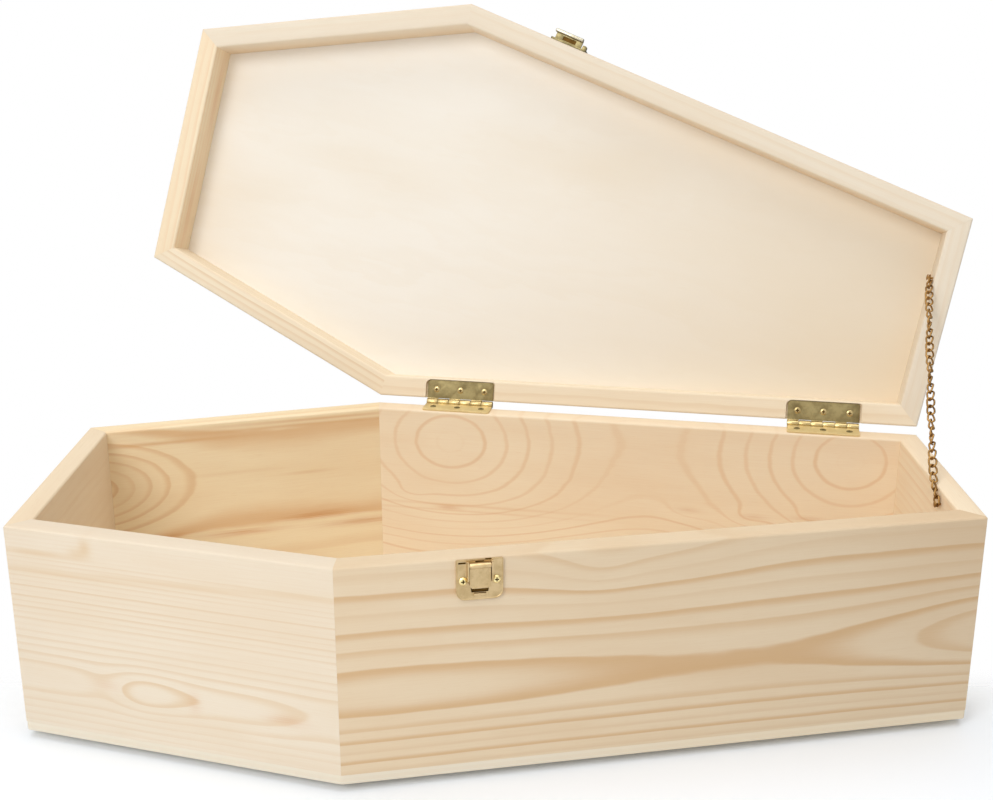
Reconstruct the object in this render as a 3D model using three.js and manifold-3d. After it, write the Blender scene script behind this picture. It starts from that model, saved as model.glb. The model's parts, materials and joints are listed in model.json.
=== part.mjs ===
// Coffin-shaped keepsake box in plain pine, with its hinged lid standing open.
// Millimetres, +Z up. +X runs from the head end to the foot end, -Y is the front,
// and the origin is the middle of the underside.

import * as THREE from 'three';
import { mergeVertices } from 'three/addons/utils/BufferGeometryUtils.js';
import Module from 'manifold-3d';

// Driving dimensions of the six-sided plan
const LENGTH = 400;
const HEAD_WIDTH = 122;
const SHOULDER_WIDTH = 203;
const FOOT_WIDTH = 102;
const SHOULDER_FROM_HEAD = 138;

// Boards and panels
const WALL = 10.2;
const BASE_THICKNESS = 4.2;
const BOX_HEIGHT = 93.6;
const RAIL_HEIGHT = 18.6;
const PANEL_THICKNESS = 4.2;
const EDGE_CHAMFER = 0.8;
const CORNER_RADIUS = 1.6;
const JOINT_GAP = 0.2;

// Lid
const OPEN_ANGLE = THREE.MathUtils.degToRad(104.8);
const LID_GAP = 0.45;

// Hinges
const HINGE_LENGTH = 34.2;
const HINGE_FROM_SHOULDER = 41.9;
const HINGE_FROM_FOOT = 44;
const KNUCKLE_COUNT = 6;
const KNUCKLE_GAP = 0.16;
const BARREL_RADIUS = 1.75;
const BARREL_CLEARANCE = 0.16;
const PIN_RADIUS = 0.8;
const PIN_BORE = 1.0;
const LEAF_THICKNESS = 0.8;
const LEAF_REACH = 9.3;
const LEAF_CORNER = 1.2;
const LEAF_SEAT_GAP = 0.05;
const AXIS_OUTSET = 1.9;
const MORTISE_DEPTH = 1.9;
const MORTISE_END_GAP = 0.9;
const MORTISE_REACH = 9.6;
const MORTISE_LEFT_RADIUS = 3;
const MORTISE_RIGHT_RADIUS = 1.4;
const LEAF_SCREW_SPACING = 12.4;
const LEAF_SCREW_FROM_BACK = 5;

// Screws and nails
const SCREW_LENGTH = 6;
const SCREW_TIP = 1.4;
const SHANK_RADIUS = 0.75;
const HOLE_RADIUS = 0.95;
const HOLE_SPARE = 0.5;
const HOLE_ABOVE = 3;
const HINGE_HEAD_RADIUS = 1.55;
const HINGE_HEAD_HEIGHT = 0.3;
const CATCH_HEAD_RADIUS = 1.65;
const CATCH_HEAD_HEIGHT = 0.75;
const DOME_SHOULDER = 0.75;
const DOME_RISE = 0.7;
const SCREW_SIDES = 8;

// Catch on the front of the box
const CATCH_FROM_SHOULDER = 55.8;
const PLATE_WIDTH = 18.4;
const PLATE_HEIGHT = 16.8;
const PLATE_THICKNESS = 1;
const PLATE_BELOW_RIM = 0.4;
const PLATE_CORNER = 3.4;
const PLATE_TOP_CORNER = 0.6;
const PLATE_SEAT_GAP = 0.05;
const CATCH_SCREW_OFFSET = 6.55;
const CATCH_SCREW_BELOW_RIM = 9.1;
const LEVER_WIDTH = 8.2;
const LEVER_TIP_BELOW_RIM = 11;
const LEVER_THICKNESS = 0.9;
const LEVER_BARREL_RADIUS = 1.15;
const LEVER_PIN_RADIUS = 0.55;
const LEVER_PIN_BORE = 0.72;
const LEVER_CORNER = 1.3;
const LEVER_AXIS_BELOW_RIM = 2.5;
const LEVER_AXIS_OUT = 2.25;
const CHEEK_THICKNESS = 0.7;
const CHEEK_GAP = 0.25;
const CHEEK_HEIGHT = 3.2;
const CHEEK_LENGTH = 8.4;
const CHEEK_BELOW_RIM = 1;
const SLOT_WIDTH = 7.6;
const SLOT_HEIGHT = 3.1;
const SLOT_BELOW_RIM = 11;
const LEDGE_WIDTH = 4.8;
const LEDGE_HEIGHT = 1.2;
const LEDGE_OUT = 1.8;
const LEDGE_BELOW_RIM = 14.3;

// Keeper on the front of the lid
const KEEPER_WIDTH = 19;
const KEEPER_SHIFT = -2.2;
const KEEPER_HEIGHT = 11;
const KEEPER_ABOVE_RIM = 0.8;
const KEEPER_CORNER = 0.8;
const KEEPER_SCREW_OFFSET = 7.3;
const KEEPER_SCREW_ABOVE_RIM = 7;
const HOOK_WIDTH = 15.2;
const HOOK_REACH = 4.7;
const HOOK_RISE = 3;
const HOOK_THICKNESS = 0.9;
const HOOK_BEND = 1;
const HOOK_EDGE = 0.3;

// Chain and the two nails that hold it
const CHAIN_LINKS = 30;
const CHAIN_TWIST = THREE.MathUtils.degToRad(45);
const LINK_HALF_WIDTH = 1.45;
const LINK_HALF_LENGTH = 2.65;
const WIRE_RADIUS = 0.5;
const WIRE_SIDES = 4;
const LINK_STEPS = 12;
const LINK_TO_NAIL = 1.5;
const CHAIN_STANDOFF = 1.4;
const CHAIN_RIM_ACROSS = -13.5;
const CHAIN_RIM_STANDOFF = 1;
const CHAIN_RIM_CLEARANCE = 1.6;
const NAIL_ACROSS = -22.5;
const NAIL_FROM_RIM = 6;
const NAIL_RADIUS = 0.55;
const NAIL_TIP = 1;
const NAIL_HEAD_RADIUS = 1.5;
const NAIL_HEAD_HEIGHT = 0.7;
const NAIL_OUT = 2.4;
const NAIL_DEPTH = 5;
const NAIL_HOLE_RADIUS = 0.75;
const NAIL_HOLE_SPARE = 0.4;

const CURVE_SIDES = 16;
const CUT_MARGIN = 1;
const MITRE_OUTER = -1;
const MITRE_INNER = 1.5;

const wasm = await Module();
wasm.setup();

// Materials
const pine = new THREE.MeshStandardMaterial({ color: 0xe6cfa8, roughness: 0.7, metalness: 0 });
const plywood = new THREE.MeshStandardMaterial({ color: 0xf0e4cc, roughness: 0.7, metalness: 0 });
const brass = new THREE.MeshStandardMaterial({ color: 0xc9ac62, roughness: 0.32, metalness: 1 });
const bronze = new THREE.MeshStandardMaterial({ color: 0x7a5a30, roughness: 0.4, metalness: 1 });

// Solids for cutting and joining
function toSolid(geometry) {
  const bare = geometry.clone();
  for (const name of Object.keys(bare.attributes)) {
    if (name !== 'position') bare.deleteAttribute(name);
  }
  const merged = mergeVertices(bare, 1e-4);
  return new wasm.Manifold(new wasm.Mesh({
    numProp: 3,
    vertProperties: new Float32Array(merged.attributes.position.array),
    triVerts: new Uint32Array(merged.index.array),
  }));
}

function toGeometry(solid) {
  const mesh = solid.getMesh();
  const geometry = new THREE.BufferGeometry();
  geometry.setAttribute('position', new THREE.BufferAttribute(new Float32Array(mesh.vertProperties), 3));
  geometry.setIndex(new THREE.BufferAttribute(new Uint32Array(mesh.triVerts), 1));
  geometry.computeVertexNormals();
  return geometry;
}

function join(solids) {
  return solids.reduce((sum, next) => sum.add(next));
}

function cut(solid, tools) {
  return tools.reduce((rest, tool) => rest.subtract(tool), solid);
}

function piece(name, solid, material) {
  const mesh = new THREE.Mesh(toGeometry(solid), material);
  mesh.name = name;
  return mesh;
}

// Basic shapes
function block(xLow, xHigh, yLow, yHigh, zLow, zHigh) {
  const geometry = new THREE.BoxGeometry(xHigh - xLow, yHigh - yLow, zHigh - zLow);
  geometry.translate((xLow + xHigh) / 2, (yLow + yHigh) / 2, (zLow + zHigh) / 2);
  return toSolid(geometry);
}

function rodAlongX(radius, xLow, xHigh, y = 0, z = 0) {
  const geometry = new THREE.CylinderGeometry(radius, radius, xHigh - xLow, CURVE_SIDES);
  geometry.rotateZ(Math.PI / 2);
  geometry.translate((xLow + xHigh) / 2, y, z);
  return toSolid(geometry);
}

function prism(shape, zLow, zHigh, curveSegments = 4) {
  const geometry = new THREE.ExtrudeGeometry(shape, {
    depth: zHigh - zLow, bevelEnabled: false, curveSegments,
  });
  geometry.translate(0, 0, zLow);
  return toSolid(geometry);
}

// A shape drawn in (across, up), pushed outwards to -Y
function pushedOut(shape, outLow, outHigh, curveSegments = 4) {
  const geometry = new THREE.ExtrudeGeometry(shape, {
    depth: outHigh - outLow, bevelEnabled: false, curveSegments,
  });
  geometry.translate(0, 0, outLow);
  geometry.rotateX(Math.PI / 2);
  return toSolid(geometry);
}

function polygon(points) {
  return new THREE.Shape(points);
}

// A closed outline whose corners are rounded, each by its own radius
function roundedOutline(points, radii) {
  const outline = new THREE.Shape();
  points.forEach((corner, i) => {
    const before = points[(i + points.length - 1) % points.length];
    const after = points[(i + 1) % points.length];
    const back = before.clone().sub(corner).normalize();
    const ahead = after.clone().sub(corner).normalize();
    const halfAngle = Math.acos(THREE.MathUtils.clamp(back.dot(ahead), -1, 1)) / 2;
    const run = radii[i] / Math.tan(halfAngle);
    const start = corner.clone().addScaledVector(back, run);
    const end = corner.clone().addScaledVector(ahead, run);
    if (i === 0) outline.moveTo(start.x, start.y);
    else outline.lineTo(start.x, start.y);
    if (radii[i] > 0) outline.quadraticCurveTo(corner.x, corner.y, end.x, end.y);
  });
  outline.closePath();
  return outline;
}

// Plan of the box: corners in order round the outline, seen from above, anticlockwise
const HALF = LENGTH / 2;
const SHOULDER_X = SHOULDER_FROM_HEAD - HALF;
const corners = [
  new THREE.Vector2(-HALF, -HEAD_WIDTH / 2),
  new THREE.Vector2(SHOULDER_X, -SHOULDER_WIDTH / 2),
  new THREE.Vector2(HALF, -FOOT_WIDTH / 2),
  new THREE.Vector2(HALF, FOOT_WIDTH / 2),
  new THREE.Vector2(SHOULDER_X, SHOULDER_WIDTH / 2),
  new THREE.Vector2(-HALF, HEAD_WIDTH / 2),
];
const sideNames = ['head_front', 'side_front', 'foot', 'side_back', 'head_back', 'head'];

function inset(points, distance) {
  return points.map((corner, i) => {
    const before = points[(i + points.length - 1) % points.length];
    const after = points[(i + 1) % points.length];
    const back = before.clone().sub(corner).normalize();
    const ahead = after.clone().sub(corner).normalize();
    const halfAngle = Math.acos(THREE.MathUtils.clamp(back.dot(ahead), -1, 1)) / 2;
    const inwards = back.add(ahead).normalize();
    return corner.clone().addScaledVector(inwards, distance / Math.sin(halfAngle));
  });
}

const innerCorners = inset(corners, WALL);
const cornerRadii = corners.map(() => CORNER_RADIUS);

// A frame of six boards, cut apart along the mitres
function chamferedPrism(shape, height, zLow) {
  const geometry = new THREE.ExtrudeGeometry(shape, {
    depth: height - 2 * EDGE_CHAMFER,
    bevelEnabled: true,
    bevelThickness: EDGE_CHAMFER,
    bevelSize: EDGE_CHAMFER,
    bevelOffset: -EDGE_CHAMFER,
    bevelSegments: 1,
    curveSegments: 2,
  });
  geometry.translate(0, 0, zLow + EDGE_CHAMFER);
  return toSolid(geometry);
}

function frameBoards(zLow, height) {
  const outline = roundedOutline(corners, cornerRadii);
  outline.holes.push(new THREE.Path(innerCorners));
  const ring = chamferedPrism(outline, height, zLow);
  const boards = {};
  sideNames.forEach((side, i) => {
    const next = (i + 1) % corners.length;
    const along = corners[next].clone().sub(corners[i]).normalize();
    const step = along.multiplyScalar(JOINT_GAP / 2);
    const mitre = (k, share) => corners[k].clone().lerp(innerCorners[k], share);
    const wedge = polygon([
      mitre(i, MITRE_OUTER).add(step),
      mitre(next, MITRE_OUTER).sub(step),
      mitre(next, MITRE_INNER).sub(step),
      mitre(i, MITRE_INNER).add(step),
    ]);
    boards[side] = ring.intersect(prism(wedge, zLow - CUT_MARGIN, zLow + height + CUT_MARGIN));
  });
  return boards;
}

function panel(zLow, thickness) {
  return chamferedPrism(roundedOutline(corners, cornerRadii), thickness, zLow);
}

// A pointed shank with a low domed head, turned about Y, with the underside of the head at headLow
function fastener(shankRadius, pointLow, pointHigh, headLow, headRadius, headHeight) {
  const profile = [
    new THREE.Vector2(0, pointLow),
    new THREE.Vector2(shankRadius, pointHigh),
    new THREE.Vector2(shankRadius, headLow),
    new THREE.Vector2(headRadius, headLow),
    new THREE.Vector2(headRadius * DOME_SHOULDER, headLow + headHeight * DOME_RISE),
    new THREE.Vector2(0, headLow + headHeight),
  ];
  return new THREE.LatheGeometry(profile, SCREW_SIDES);
}

// Screws stand along +Z with the underside of the head at zero
function screwSolid(headRadius, headHeight) {
  const geometry = fastener(
    SHANK_RADIUS, -SCREW_LENGTH, SCREW_TIP - SCREW_LENGTH, 0, headRadius, headHeight,
  );
  geometry.rotateX(Math.PI / 2);
  return toSolid(geometry);
}

function holeSolid(depth) {
  const geometry = new THREE.CylinderGeometry(HOLE_RADIUS, HOLE_RADIUS, depth + HOLE_ABOVE, SCREW_SIDES);
  geometry.rotateX(Math.PI / 2);
  geometry.translate(0, 0, (HOLE_ABOVE - depth) / 2);
  return toSolid(geometry);
}

// Places: local frames on the back edge, the front faces and the foot end
function frameAt(position, turn) {
  const frame = new THREE.Group();
  frame.position.copy(position);
  frame.rotation.z = turn;
  frame.updateMatrixWorld(true);
  return frame;
}

function placed(solid, matrix) {
  return solid.transform(matrix.elements);
}

const backStart = corners[4];
const backEnd = corners[3];
const backAlong = backEnd.clone().sub(backStart).normalize();
const backOut = new THREE.Vector2(-backAlong.y, backAlong.x);
const backTurn = Math.atan2(backAlong.y, backAlong.x);
const backLength = backEnd.distanceTo(backStart);
const AXIS_HEIGHT = BOX_HEIGHT + (LID_GAP + MORTISE_DEPTH) / 2;
const axisToLeaf = AXIS_HEIGHT - BOX_HEIGHT - LEAF_SEAT_GAP;

function onAxis(distance) {
  const point = backStart.clone().addScaledVector(backAlong, distance);
  point.addScaledVector(backOut, AXIS_OUTSET);
  return new THREE.Vector3(point.x, point.y, AXIS_HEIGHT);
}

const hingePlaces = {
  left: HINGE_FROM_SHOULDER,
  right: backLength - HINGE_FROM_FOOT,
};

const frontStart = corners[1];
const frontAlong = corners[2].clone().sub(frontStart).normalize();
const frontTurn = Math.atan2(frontAlong.y, frontAlong.x);
const catchPoint = frontStart.clone().addScaledVector(frontAlong, CATCH_FROM_SHOULDER);
const LID_RIM = BOX_HEIGHT + LID_GAP;

function onFront(height) {
  return frameAt(new THREE.Vector3(catchPoint.x, catchPoint.y, height), frontTurn);
}

// Hinges. Local frame: X along the pin, Y out of the back, Z up, with the pin at zero.
// The lid's leaf is the box's leaf turned over, with the other three knuckles.
function knuckleSpan(i) {
  const size = HINGE_LENGTH / KNUCKLE_COUNT;
  const low = -HINGE_LENGTH / 2 + i * size;
  return [low + KNUCKLE_GAP / 2, low + size - KNUCKLE_GAP / 2];
}

function leafSolid(firstKnuckle, side) {
  const half = HINGE_LENGTH / 2;
  const far = -(AXIS_OUTSET + LEAF_REACH);
  const seat = side * axisToLeaf;
  const face = side * (axisToLeaf - LEAF_THICKNESS);
  const outline = roundedOutline(
    [
      new THREE.Vector2(-half, far),
      new THREE.Vector2(half, far),
      new THREE.Vector2(half, 0),
      new THREE.Vector2(-half, 0),
    ],
    [LEAF_CORNER, LEAF_CORNER, 0, 0],
  );
  let leaf = prism(outline, Math.min(seat, face), Math.max(seat, face), 2);
  const own = [];
  for (let i = 0; i < KNUCKLE_COUNT; i += 1) {
    const [low, high] = knuckleSpan(i);
    if (i % 2 === firstKnuckle) {
      own.push(rodAlongX(BARREL_RADIUS, low, high));
    } else {
      const room = BARREL_RADIUS + BARREL_CLEARANCE;
      leaf = leaf.subtract(rodAlongX(room, low - KNUCKLE_GAP, high + KNUCKLE_GAP));
      leaf = leaf.subtract(block(low - KNUCKLE_GAP, high + KNUCKLE_GAP, -room, room, -room, room));
    }
  }
  leaf = join([leaf, ...own]);
  leaf = leaf.subtract(rodAlongX(PIN_BORE, -half - CUT_MARGIN, half + CUT_MARGIN));
  return cut(leaf, leafScrewPoints(side).map((matrix) => placed(holeSolid(LEAF_THICKNESS * 2), matrix)));
}

// Screw frames on a leaf: Z points out of the leaf's free face
function leafScrewPoints(side) {
  return [-1, 0, 1].map((k) => {
    const matrix = new THREE.Matrix4().makeTranslation(
      k * LEAF_SCREW_SPACING,
      -(AXIS_OUTSET + LEAF_SCREW_FROM_BACK),
      side * (axisToLeaf - LEAF_THICKNESS),
    );
    return matrix.multiply(new THREE.Matrix4().makeRotationX(side > 0 ? Math.PI : 0));
  });
}

const BOX_SIDE = -1;
const LID_SIDE = 1;

function hingePinSolid() {
  return rodAlongX(PIN_RADIUS, -HINGE_LENGTH / 2, HINGE_LENGTH / 2);
}

function mortiseSolid() {
  const half = HINGE_LENGTH / 2 + MORTISE_END_GAP;
  const far = -(AXIS_OUTSET + MORTISE_REACH);
  const outline = roundedOutline(
    [
      new THREE.Vector2(-half, far),
      new THREE.Vector2(half, far),
      new THREE.Vector2(half, CUT_MARGIN),
      new THREE.Vector2(-half, CUT_MARGIN),
    ],
    [MORTISE_LEFT_RADIUS, MORTISE_RIGHT_RADIUS, 0, 0],
  );
  const floor = LID_RIM + MORTISE_DEPTH - AXIS_HEIGHT;
  return prism(outline, floor - MORTISE_DEPTH - CUT_MARGIN, floor);
}

// Catch on the box. Local frame: X along the front, -Y out of it, Z up, with the rim at zero.
function catchPlateSolid() {
  const half = PLATE_WIDTH / 2;
  const top = -PLATE_BELOW_RIM;
  const bottom = top - PLATE_HEIGHT;
  const outline = roundedOutline(
    [
      new THREE.Vector2(-half, bottom),
      new THREE.Vector2(half, bottom),
      new THREE.Vector2(half, top),
      new THREE.Vector2(-half, top),
    ],
    [PLATE_CORNER, PLATE_CORNER, PLATE_TOP_CORNER, PLATE_TOP_CORNER],
  );
  const plate = pushedOut(outline, PLATE_SEAT_GAP, PLATE_THICKNESS);
  const slot = block(
    -SLOT_WIDTH / 2, SLOT_WIDTH / 2, -PLATE_THICKNESS - CUT_MARGIN, CUT_MARGIN,
    -SLOT_BELOW_RIM - SLOT_HEIGHT, -SLOT_BELOW_RIM,
  );
  const cheekInner = LEVER_WIDTH / 2 + CHEEK_GAP;
  const cheeks = [-1, 1].map((sign) => block(
    Math.min(sign * cheekInner, sign * (cheekInner + CHEEK_THICKNESS)),
    Math.max(sign * cheekInner, sign * (cheekInner + CHEEK_THICKNESS)),
    -CHEEK_HEIGHT, -PLATE_THICKNESS / 2, -CHEEK_BELOW_RIM - CHEEK_LENGTH, -CHEEK_BELOW_RIM,
  ));
  const ledge = block(
    -LEDGE_WIDTH / 2, LEDGE_WIDTH / 2, -LEDGE_OUT, -PLATE_THICKNESS / 2,
    -LEDGE_BELOW_RIM - LEDGE_HEIGHT, -LEDGE_BELOW_RIM,
  );
  const pinHole = rodAlongX(LEVER_PIN_BORE, -half, half, -LEVER_AXIS_OUT, -LEVER_AXIS_BELOW_RIM);
  const body = join([plate.subtract(slot), ...cheeks, ledge]).subtract(pinHole);
  return cut(body, catchScrewPoints().map((matrix) => placed(holeSolid(PLATE_THICKNESS * 2), matrix)));
}

// Screw frames on a plate: Z points out of the front
function facing(x, out, z) {
  const matrix = new THREE.Matrix4().makeTranslation(x, -out, z);
  return matrix.multiply(new THREE.Matrix4().makeRotationX(Math.PI / 2));
}

function catchScrewPoints() {
  return [-1, 1].map((sign) => facing(sign * CATCH_SCREW_OFFSET, PLATE_THICKNESS, -CATCH_SCREW_BELOW_RIM));
}

function catchLeverSolid() {
  const half = LEVER_WIDTH / 2;
  const axisZ = -LEVER_AXIS_BELOW_RIM;
  const outline = roundedOutline(
    [
      new THREE.Vector2(-half, -LEVER_TIP_BELOW_RIM),
      new THREE.Vector2(half, -LEVER_TIP_BELOW_RIM),
      new THREE.Vector2(half, axisZ),
      new THREE.Vector2(-half, axisZ),
    ],
    [LEVER_CORNER, LEVER_CORNER, 0, 0],
  );
  const outLow = LEVER_AXIS_OUT - LEVER_THICKNESS / 2;
  const tab = pushedOut(outline, outLow, outLow + LEVER_THICKNESS);
  const barrel = rodAlongX(LEVER_BARREL_RADIUS, -half, half, -LEVER_AXIS_OUT, axisZ);
  const bore = rodAlongX(LEVER_PIN_BORE, -half - CUT_MARGIN, half + CUT_MARGIN, -LEVER_AXIS_OUT, axisZ);
  return join([tab, barrel]).subtract(bore);
}

function catchPinSolid() {
  const half = LEVER_WIDTH / 2 + CHEEK_GAP + CHEEK_THICKNESS;
  return rodAlongX(LEVER_PIN_RADIUS, -half, half, -LEVER_AXIS_OUT, -LEVER_AXIS_BELOW_RIM);
}

// Keeper on the lid, in the same kind of frame with the lid's rim at zero. Its hook starts
// at the plate's left end and stops short of the right one.
const KEEPER_LEFT = KEEPER_SHIFT - KEEPER_WIDTH / 2;
const KEEPER_RIGHT = KEEPER_SHIFT + KEEPER_WIDTH / 2;

function keeperScrewPoints() {
  return [-1, 1].map((sign) => {
    const across = KEEPER_SHIFT + sign * KEEPER_SCREW_OFFSET;
    return facing(across, PLATE_THICKNESS, KEEPER_SCREW_ABOVE_RIM);
  });
}

function keeperSolid() {
  const bottom = KEEPER_ABOVE_RIM;
  const top = bottom + KEEPER_HEIGHT;
  const outline = roundedOutline(
    [
      new THREE.Vector2(KEEPER_LEFT, bottom),
      new THREE.Vector2(KEEPER_RIGHT, bottom),
      new THREE.Vector2(KEEPER_RIGHT, top),
      new THREE.Vector2(KEEPER_LEFT, top),
    ],
    [KEEPER_CORNER, KEEPER_CORNER, PLATE_CORNER, PLATE_CORNER],
  );
  const plate = pushedOut(outline, PLATE_SEAT_GAP, PLATE_THICKNESS);
  const inner = HOOK_REACH - HOOK_THICKNESS;
  const lip = bottom + HOOK_THICKNESS;
  const section = roundedOutline(
    [
      new THREE.Vector2(-PLATE_THICKNESS / 2, bottom),
      new THREE.Vector2(-HOOK_REACH, bottom),
      new THREE.Vector2(-HOOK_REACH, bottom + HOOK_RISE),
      new THREE.Vector2(-inner, bottom + HOOK_RISE),
      new THREE.Vector2(-inner, lip),
      new THREE.Vector2(-PLATE_THICKNESS / 2, lip),
    ].reverse(),
    [0, HOOK_EDGE, HOOK_EDGE, HOOK_EDGE, HOOK_BEND, 0],
  );
  const geometry = new THREE.ExtrudeGeometry(section, {
    depth: HOOK_WIDTH, bevelEnabled: false, curveSegments: 3,
  });
  geometry.translate(0, 0, KEEPER_LEFT + KEEPER_CORNER);
  // The section's own axes (out, up, along) become (Y, Z, X)
  geometry.applyMatrix4(new THREE.Matrix4().set(0, 0, 1, 0, 1, 0, 0, 0, 0, 1, 0, 0, 0, 0, 0, 1));
  const body = join([plate, toSolid(geometry)]);
  return cut(body, keeperScrewPoints().map((matrix) => placed(holeSolid(PLATE_THICKNESS * 2), matrix)));
}

// Chain nails stand out of the inner faces of the foot ends, towards -X
function nailSolid() {
  const geometry = fastener(
    NAIL_RADIUS, -NAIL_DEPTH, NAIL_TIP - NAIL_DEPTH, NAIL_OUT, NAIL_HEAD_RADIUS, NAIL_HEAD_HEIGHT,
  );
  geometry.rotateZ(Math.PI / 2);
  return toSolid(geometry);
}

function nailHole() {
  return rodAlongX(NAIL_HOLE_RADIUS, -CUT_MARGIN, NAIL_DEPTH + NAIL_HOLE_SPARE);
}

const FOOT_FACE = innerCorners[2].x;
const boxNailPoint = new THREE.Vector3(FOOT_FACE, NAIL_ACROSS, BOX_HEIGHT - NAIL_FROM_RIM);
const lidNailPoint = new THREE.Vector3(FOOT_FACE, NAIL_ACROSS, LID_RIM + NAIL_FROM_RIM);

// The lid hangs on the hinge line: its pieces are drawn shut and swung open
const hingeLine = frameAt(onAxis(0), backTurn);
const lidSwing = new THREE.Group();
lidSwing.rotation.x = -OPEN_ANGLE;
const lidShut = new THREE.Group();
lidShut.applyMatrix4(hingeLine.matrixWorld.clone().invert());
hingeLine.add(lidSwing);
lidSwing.add(lidShut);
hingeLine.updateMatrixWorld(true);

// One link: a ring drawn out along X, with its two ends twisted about X
function linkSolid(startTwist, endTwist) {
  const geometry = new THREE.TorusGeometry(LINK_HALF_WIDTH, WIRE_RADIUS, WIRE_SIDES, LINK_STEPS);
  const position = geometry.attributes.position;
  const stretch = LINK_HALF_LENGTH - LINK_HALF_WIDTH;
  const point = new THREE.Vector3();
  const axis = new THREE.Vector3(1, 0, 0);
  for (let i = 0; i < position.count; i += 1) {
    point.fromBufferAttribute(position, i);
    if (Math.abs(point.x) > 1e-6) point.x += Math.sign(point.x) * stretch;
    const reach = THREE.MathUtils.clamp(point.x / LINK_HALF_LENGTH, -1, 1);
    const share = (Math.sin(reach * Math.PI / 2) + 1) / 2;
    point.applyAxisAngle(axis, THREE.MathUtils.lerp(startTwist, endTwist, share));
    position.setXYZ(i, point.x, point.y, point.z);
  }
  return toSolid(geometry);
}

// The chain runs up the foot wall, over the rims, and into the lid's recess
function chainEnd(nailHeight, rimHeight) {
  return [
    new THREE.Vector3(FOOT_FACE - CHAIN_STANDOFF, NAIL_ACROSS, nailHeight),
    new THREE.Vector3(FOOT_FACE - CHAIN_RIM_STANDOFF, CHAIN_RIM_ACROSS, rimHeight),
  ];
}

const boxEnd = chainEnd(BOX_HEIGHT - NAIL_FROM_RIM, BOX_HEIGHT + CHAIN_RIM_CLEARANCE);
const lidEnd = chainEnd(LID_RIM + NAIL_FROM_RIM, LID_RIM - CHAIN_RIM_CLEARANCE).reverse();
lidEnd.forEach((point) => point.applyMatrix4(lidShut.matrixWorld));
const chainRoute = new THREE.CatmullRomCurve3([...boxEnd, ...lidEnd], false, 'centripetal');
chainRoute.arcLengthDivisions = 400;

function chainSolid() {
  const total = chainRoute.getLength();
  const pitch = (total - 2 * LINK_TO_NAIL) / (CHAIN_LINKS - 1);
  const links = [];
  for (let i = 0; i < CHAIN_LINKS; i += 1) {
    const share = (LINK_TO_NAIL + i * pitch) / total;
    const along = chainRoute.getTangentAt(share);
    const across = new THREE.Vector3(1, 0, 0).cross(along).normalize();
    const normal = along.clone().cross(across);
    const matrix = new THREE.Matrix4().makeBasis(along, across, normal);
    matrix.setPosition(chainRoute.getPointAt(share));
    const start = i === 0 ? 0 : -CHAIN_TWIST;
    const end = i === CHAIN_LINKS - 1 ? 0 : CHAIN_TWIST;
    links.push(placed(linkSolid(start, end), matrix));
  }
  return join(links);
}

// Assembly
const coffin = new THREE.Group();

const walls = frameBoards(BASE_THICKNESS + JOINT_GAP, BOX_HEIGHT - BASE_THICKNESS - JOINT_GAP);
const rails = frameBoards(LID_RIM, RAIL_HEIGHT);
const hingeFrames = Object.fromEntries(
  Object.entries(hingePlaces).map(([side, distance]) => [side, frameAt(onAxis(distance), backTurn)]),
);
const catchFrame = onFront(BOX_HEIGHT);
const keeperFrame = onFront(LID_RIM);

function screwHoles(frame, points) {
  const hole = holeSolid(SCREW_LENGTH + HOLE_SPARE);
  return points.map((matrix) => placed(hole, frame.matrixWorld.clone().multiply(matrix)));
}

for (const frame of Object.values(hingeFrames)) {
  walls.side_back = cut(walls.side_back, screwHoles(frame, leafScrewPoints(BOX_SIDE)));
  rails.side_back = cut(rails.side_back, [placed(mortiseSolid(), frame.matrixWorld)]);
  rails.side_back = cut(rails.side_back, screwHoles(frame, leafScrewPoints(LID_SIDE)));
}
walls.side_front = cut(walls.side_front, screwHoles(catchFrame, catchScrewPoints()));
rails.side_front = cut(rails.side_front, screwHoles(keeperFrame, keeperScrewPoints()));
const shift = (point) => new THREE.Matrix4().makeTranslation(point.x, point.y, point.z);
walls.foot = walls.foot.subtract(placed(nailHole(), shift(boxNailPoint)));
rails.foot = rails.foot.subtract(placed(nailHole(), shift(lidNailPoint)));

for (const side of sideNames) {
  coffin.add(piece(`wall_${side}`, walls[side], pine));
  lidShut.add(piece(`lid_rail_${side}`, rails[side], pine));
}
coffin.add(piece('base_panel', panel(0, BASE_THICKNESS), plywood));
lidShut.add(piece('lid_panel', panel(LID_RIM + RAIL_HEIGHT + JOINT_GAP, PANEL_THICKNESS), plywood));

function addScrews(parent, frame, points, name, headRadius, headHeight) {
  points.forEach((matrix, i) => {
    const screw = piece(`${name}_${i + 1}`, screwSolid(headRadius, headHeight), brass);
    screw.applyMatrix4(frame.matrixWorld.clone().multiply(matrix));
    parent.add(screw);
  });
}

for (const [side, frame] of Object.entries(hingeFrames)) {
  const name = `hinge_${side}`;
  const pieces = [
    [coffin, piece(`${name}_box_leaf`, leafSolid(1, BOX_SIDE), brass)],
    [lidShut, piece(`${name}_lid_leaf`, leafSolid(0, LID_SIDE), brass)],
    [coffin, piece(`${name}_pin`, hingePinSolid(), brass)],
  ];
  for (const [parent, mesh] of pieces) {
    mesh.applyMatrix4(frame.matrixWorld);
    parent.add(mesh);
  }
  const heads = [HINGE_HEAD_RADIUS, HINGE_HEAD_HEIGHT];
  addScrews(coffin, frame, leafScrewPoints(BOX_SIDE), `${name}_box_screw`, ...heads);
  addScrews(lidShut, frame, leafScrewPoints(LID_SIDE), `${name}_lid_screw`, ...heads);
}

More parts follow.
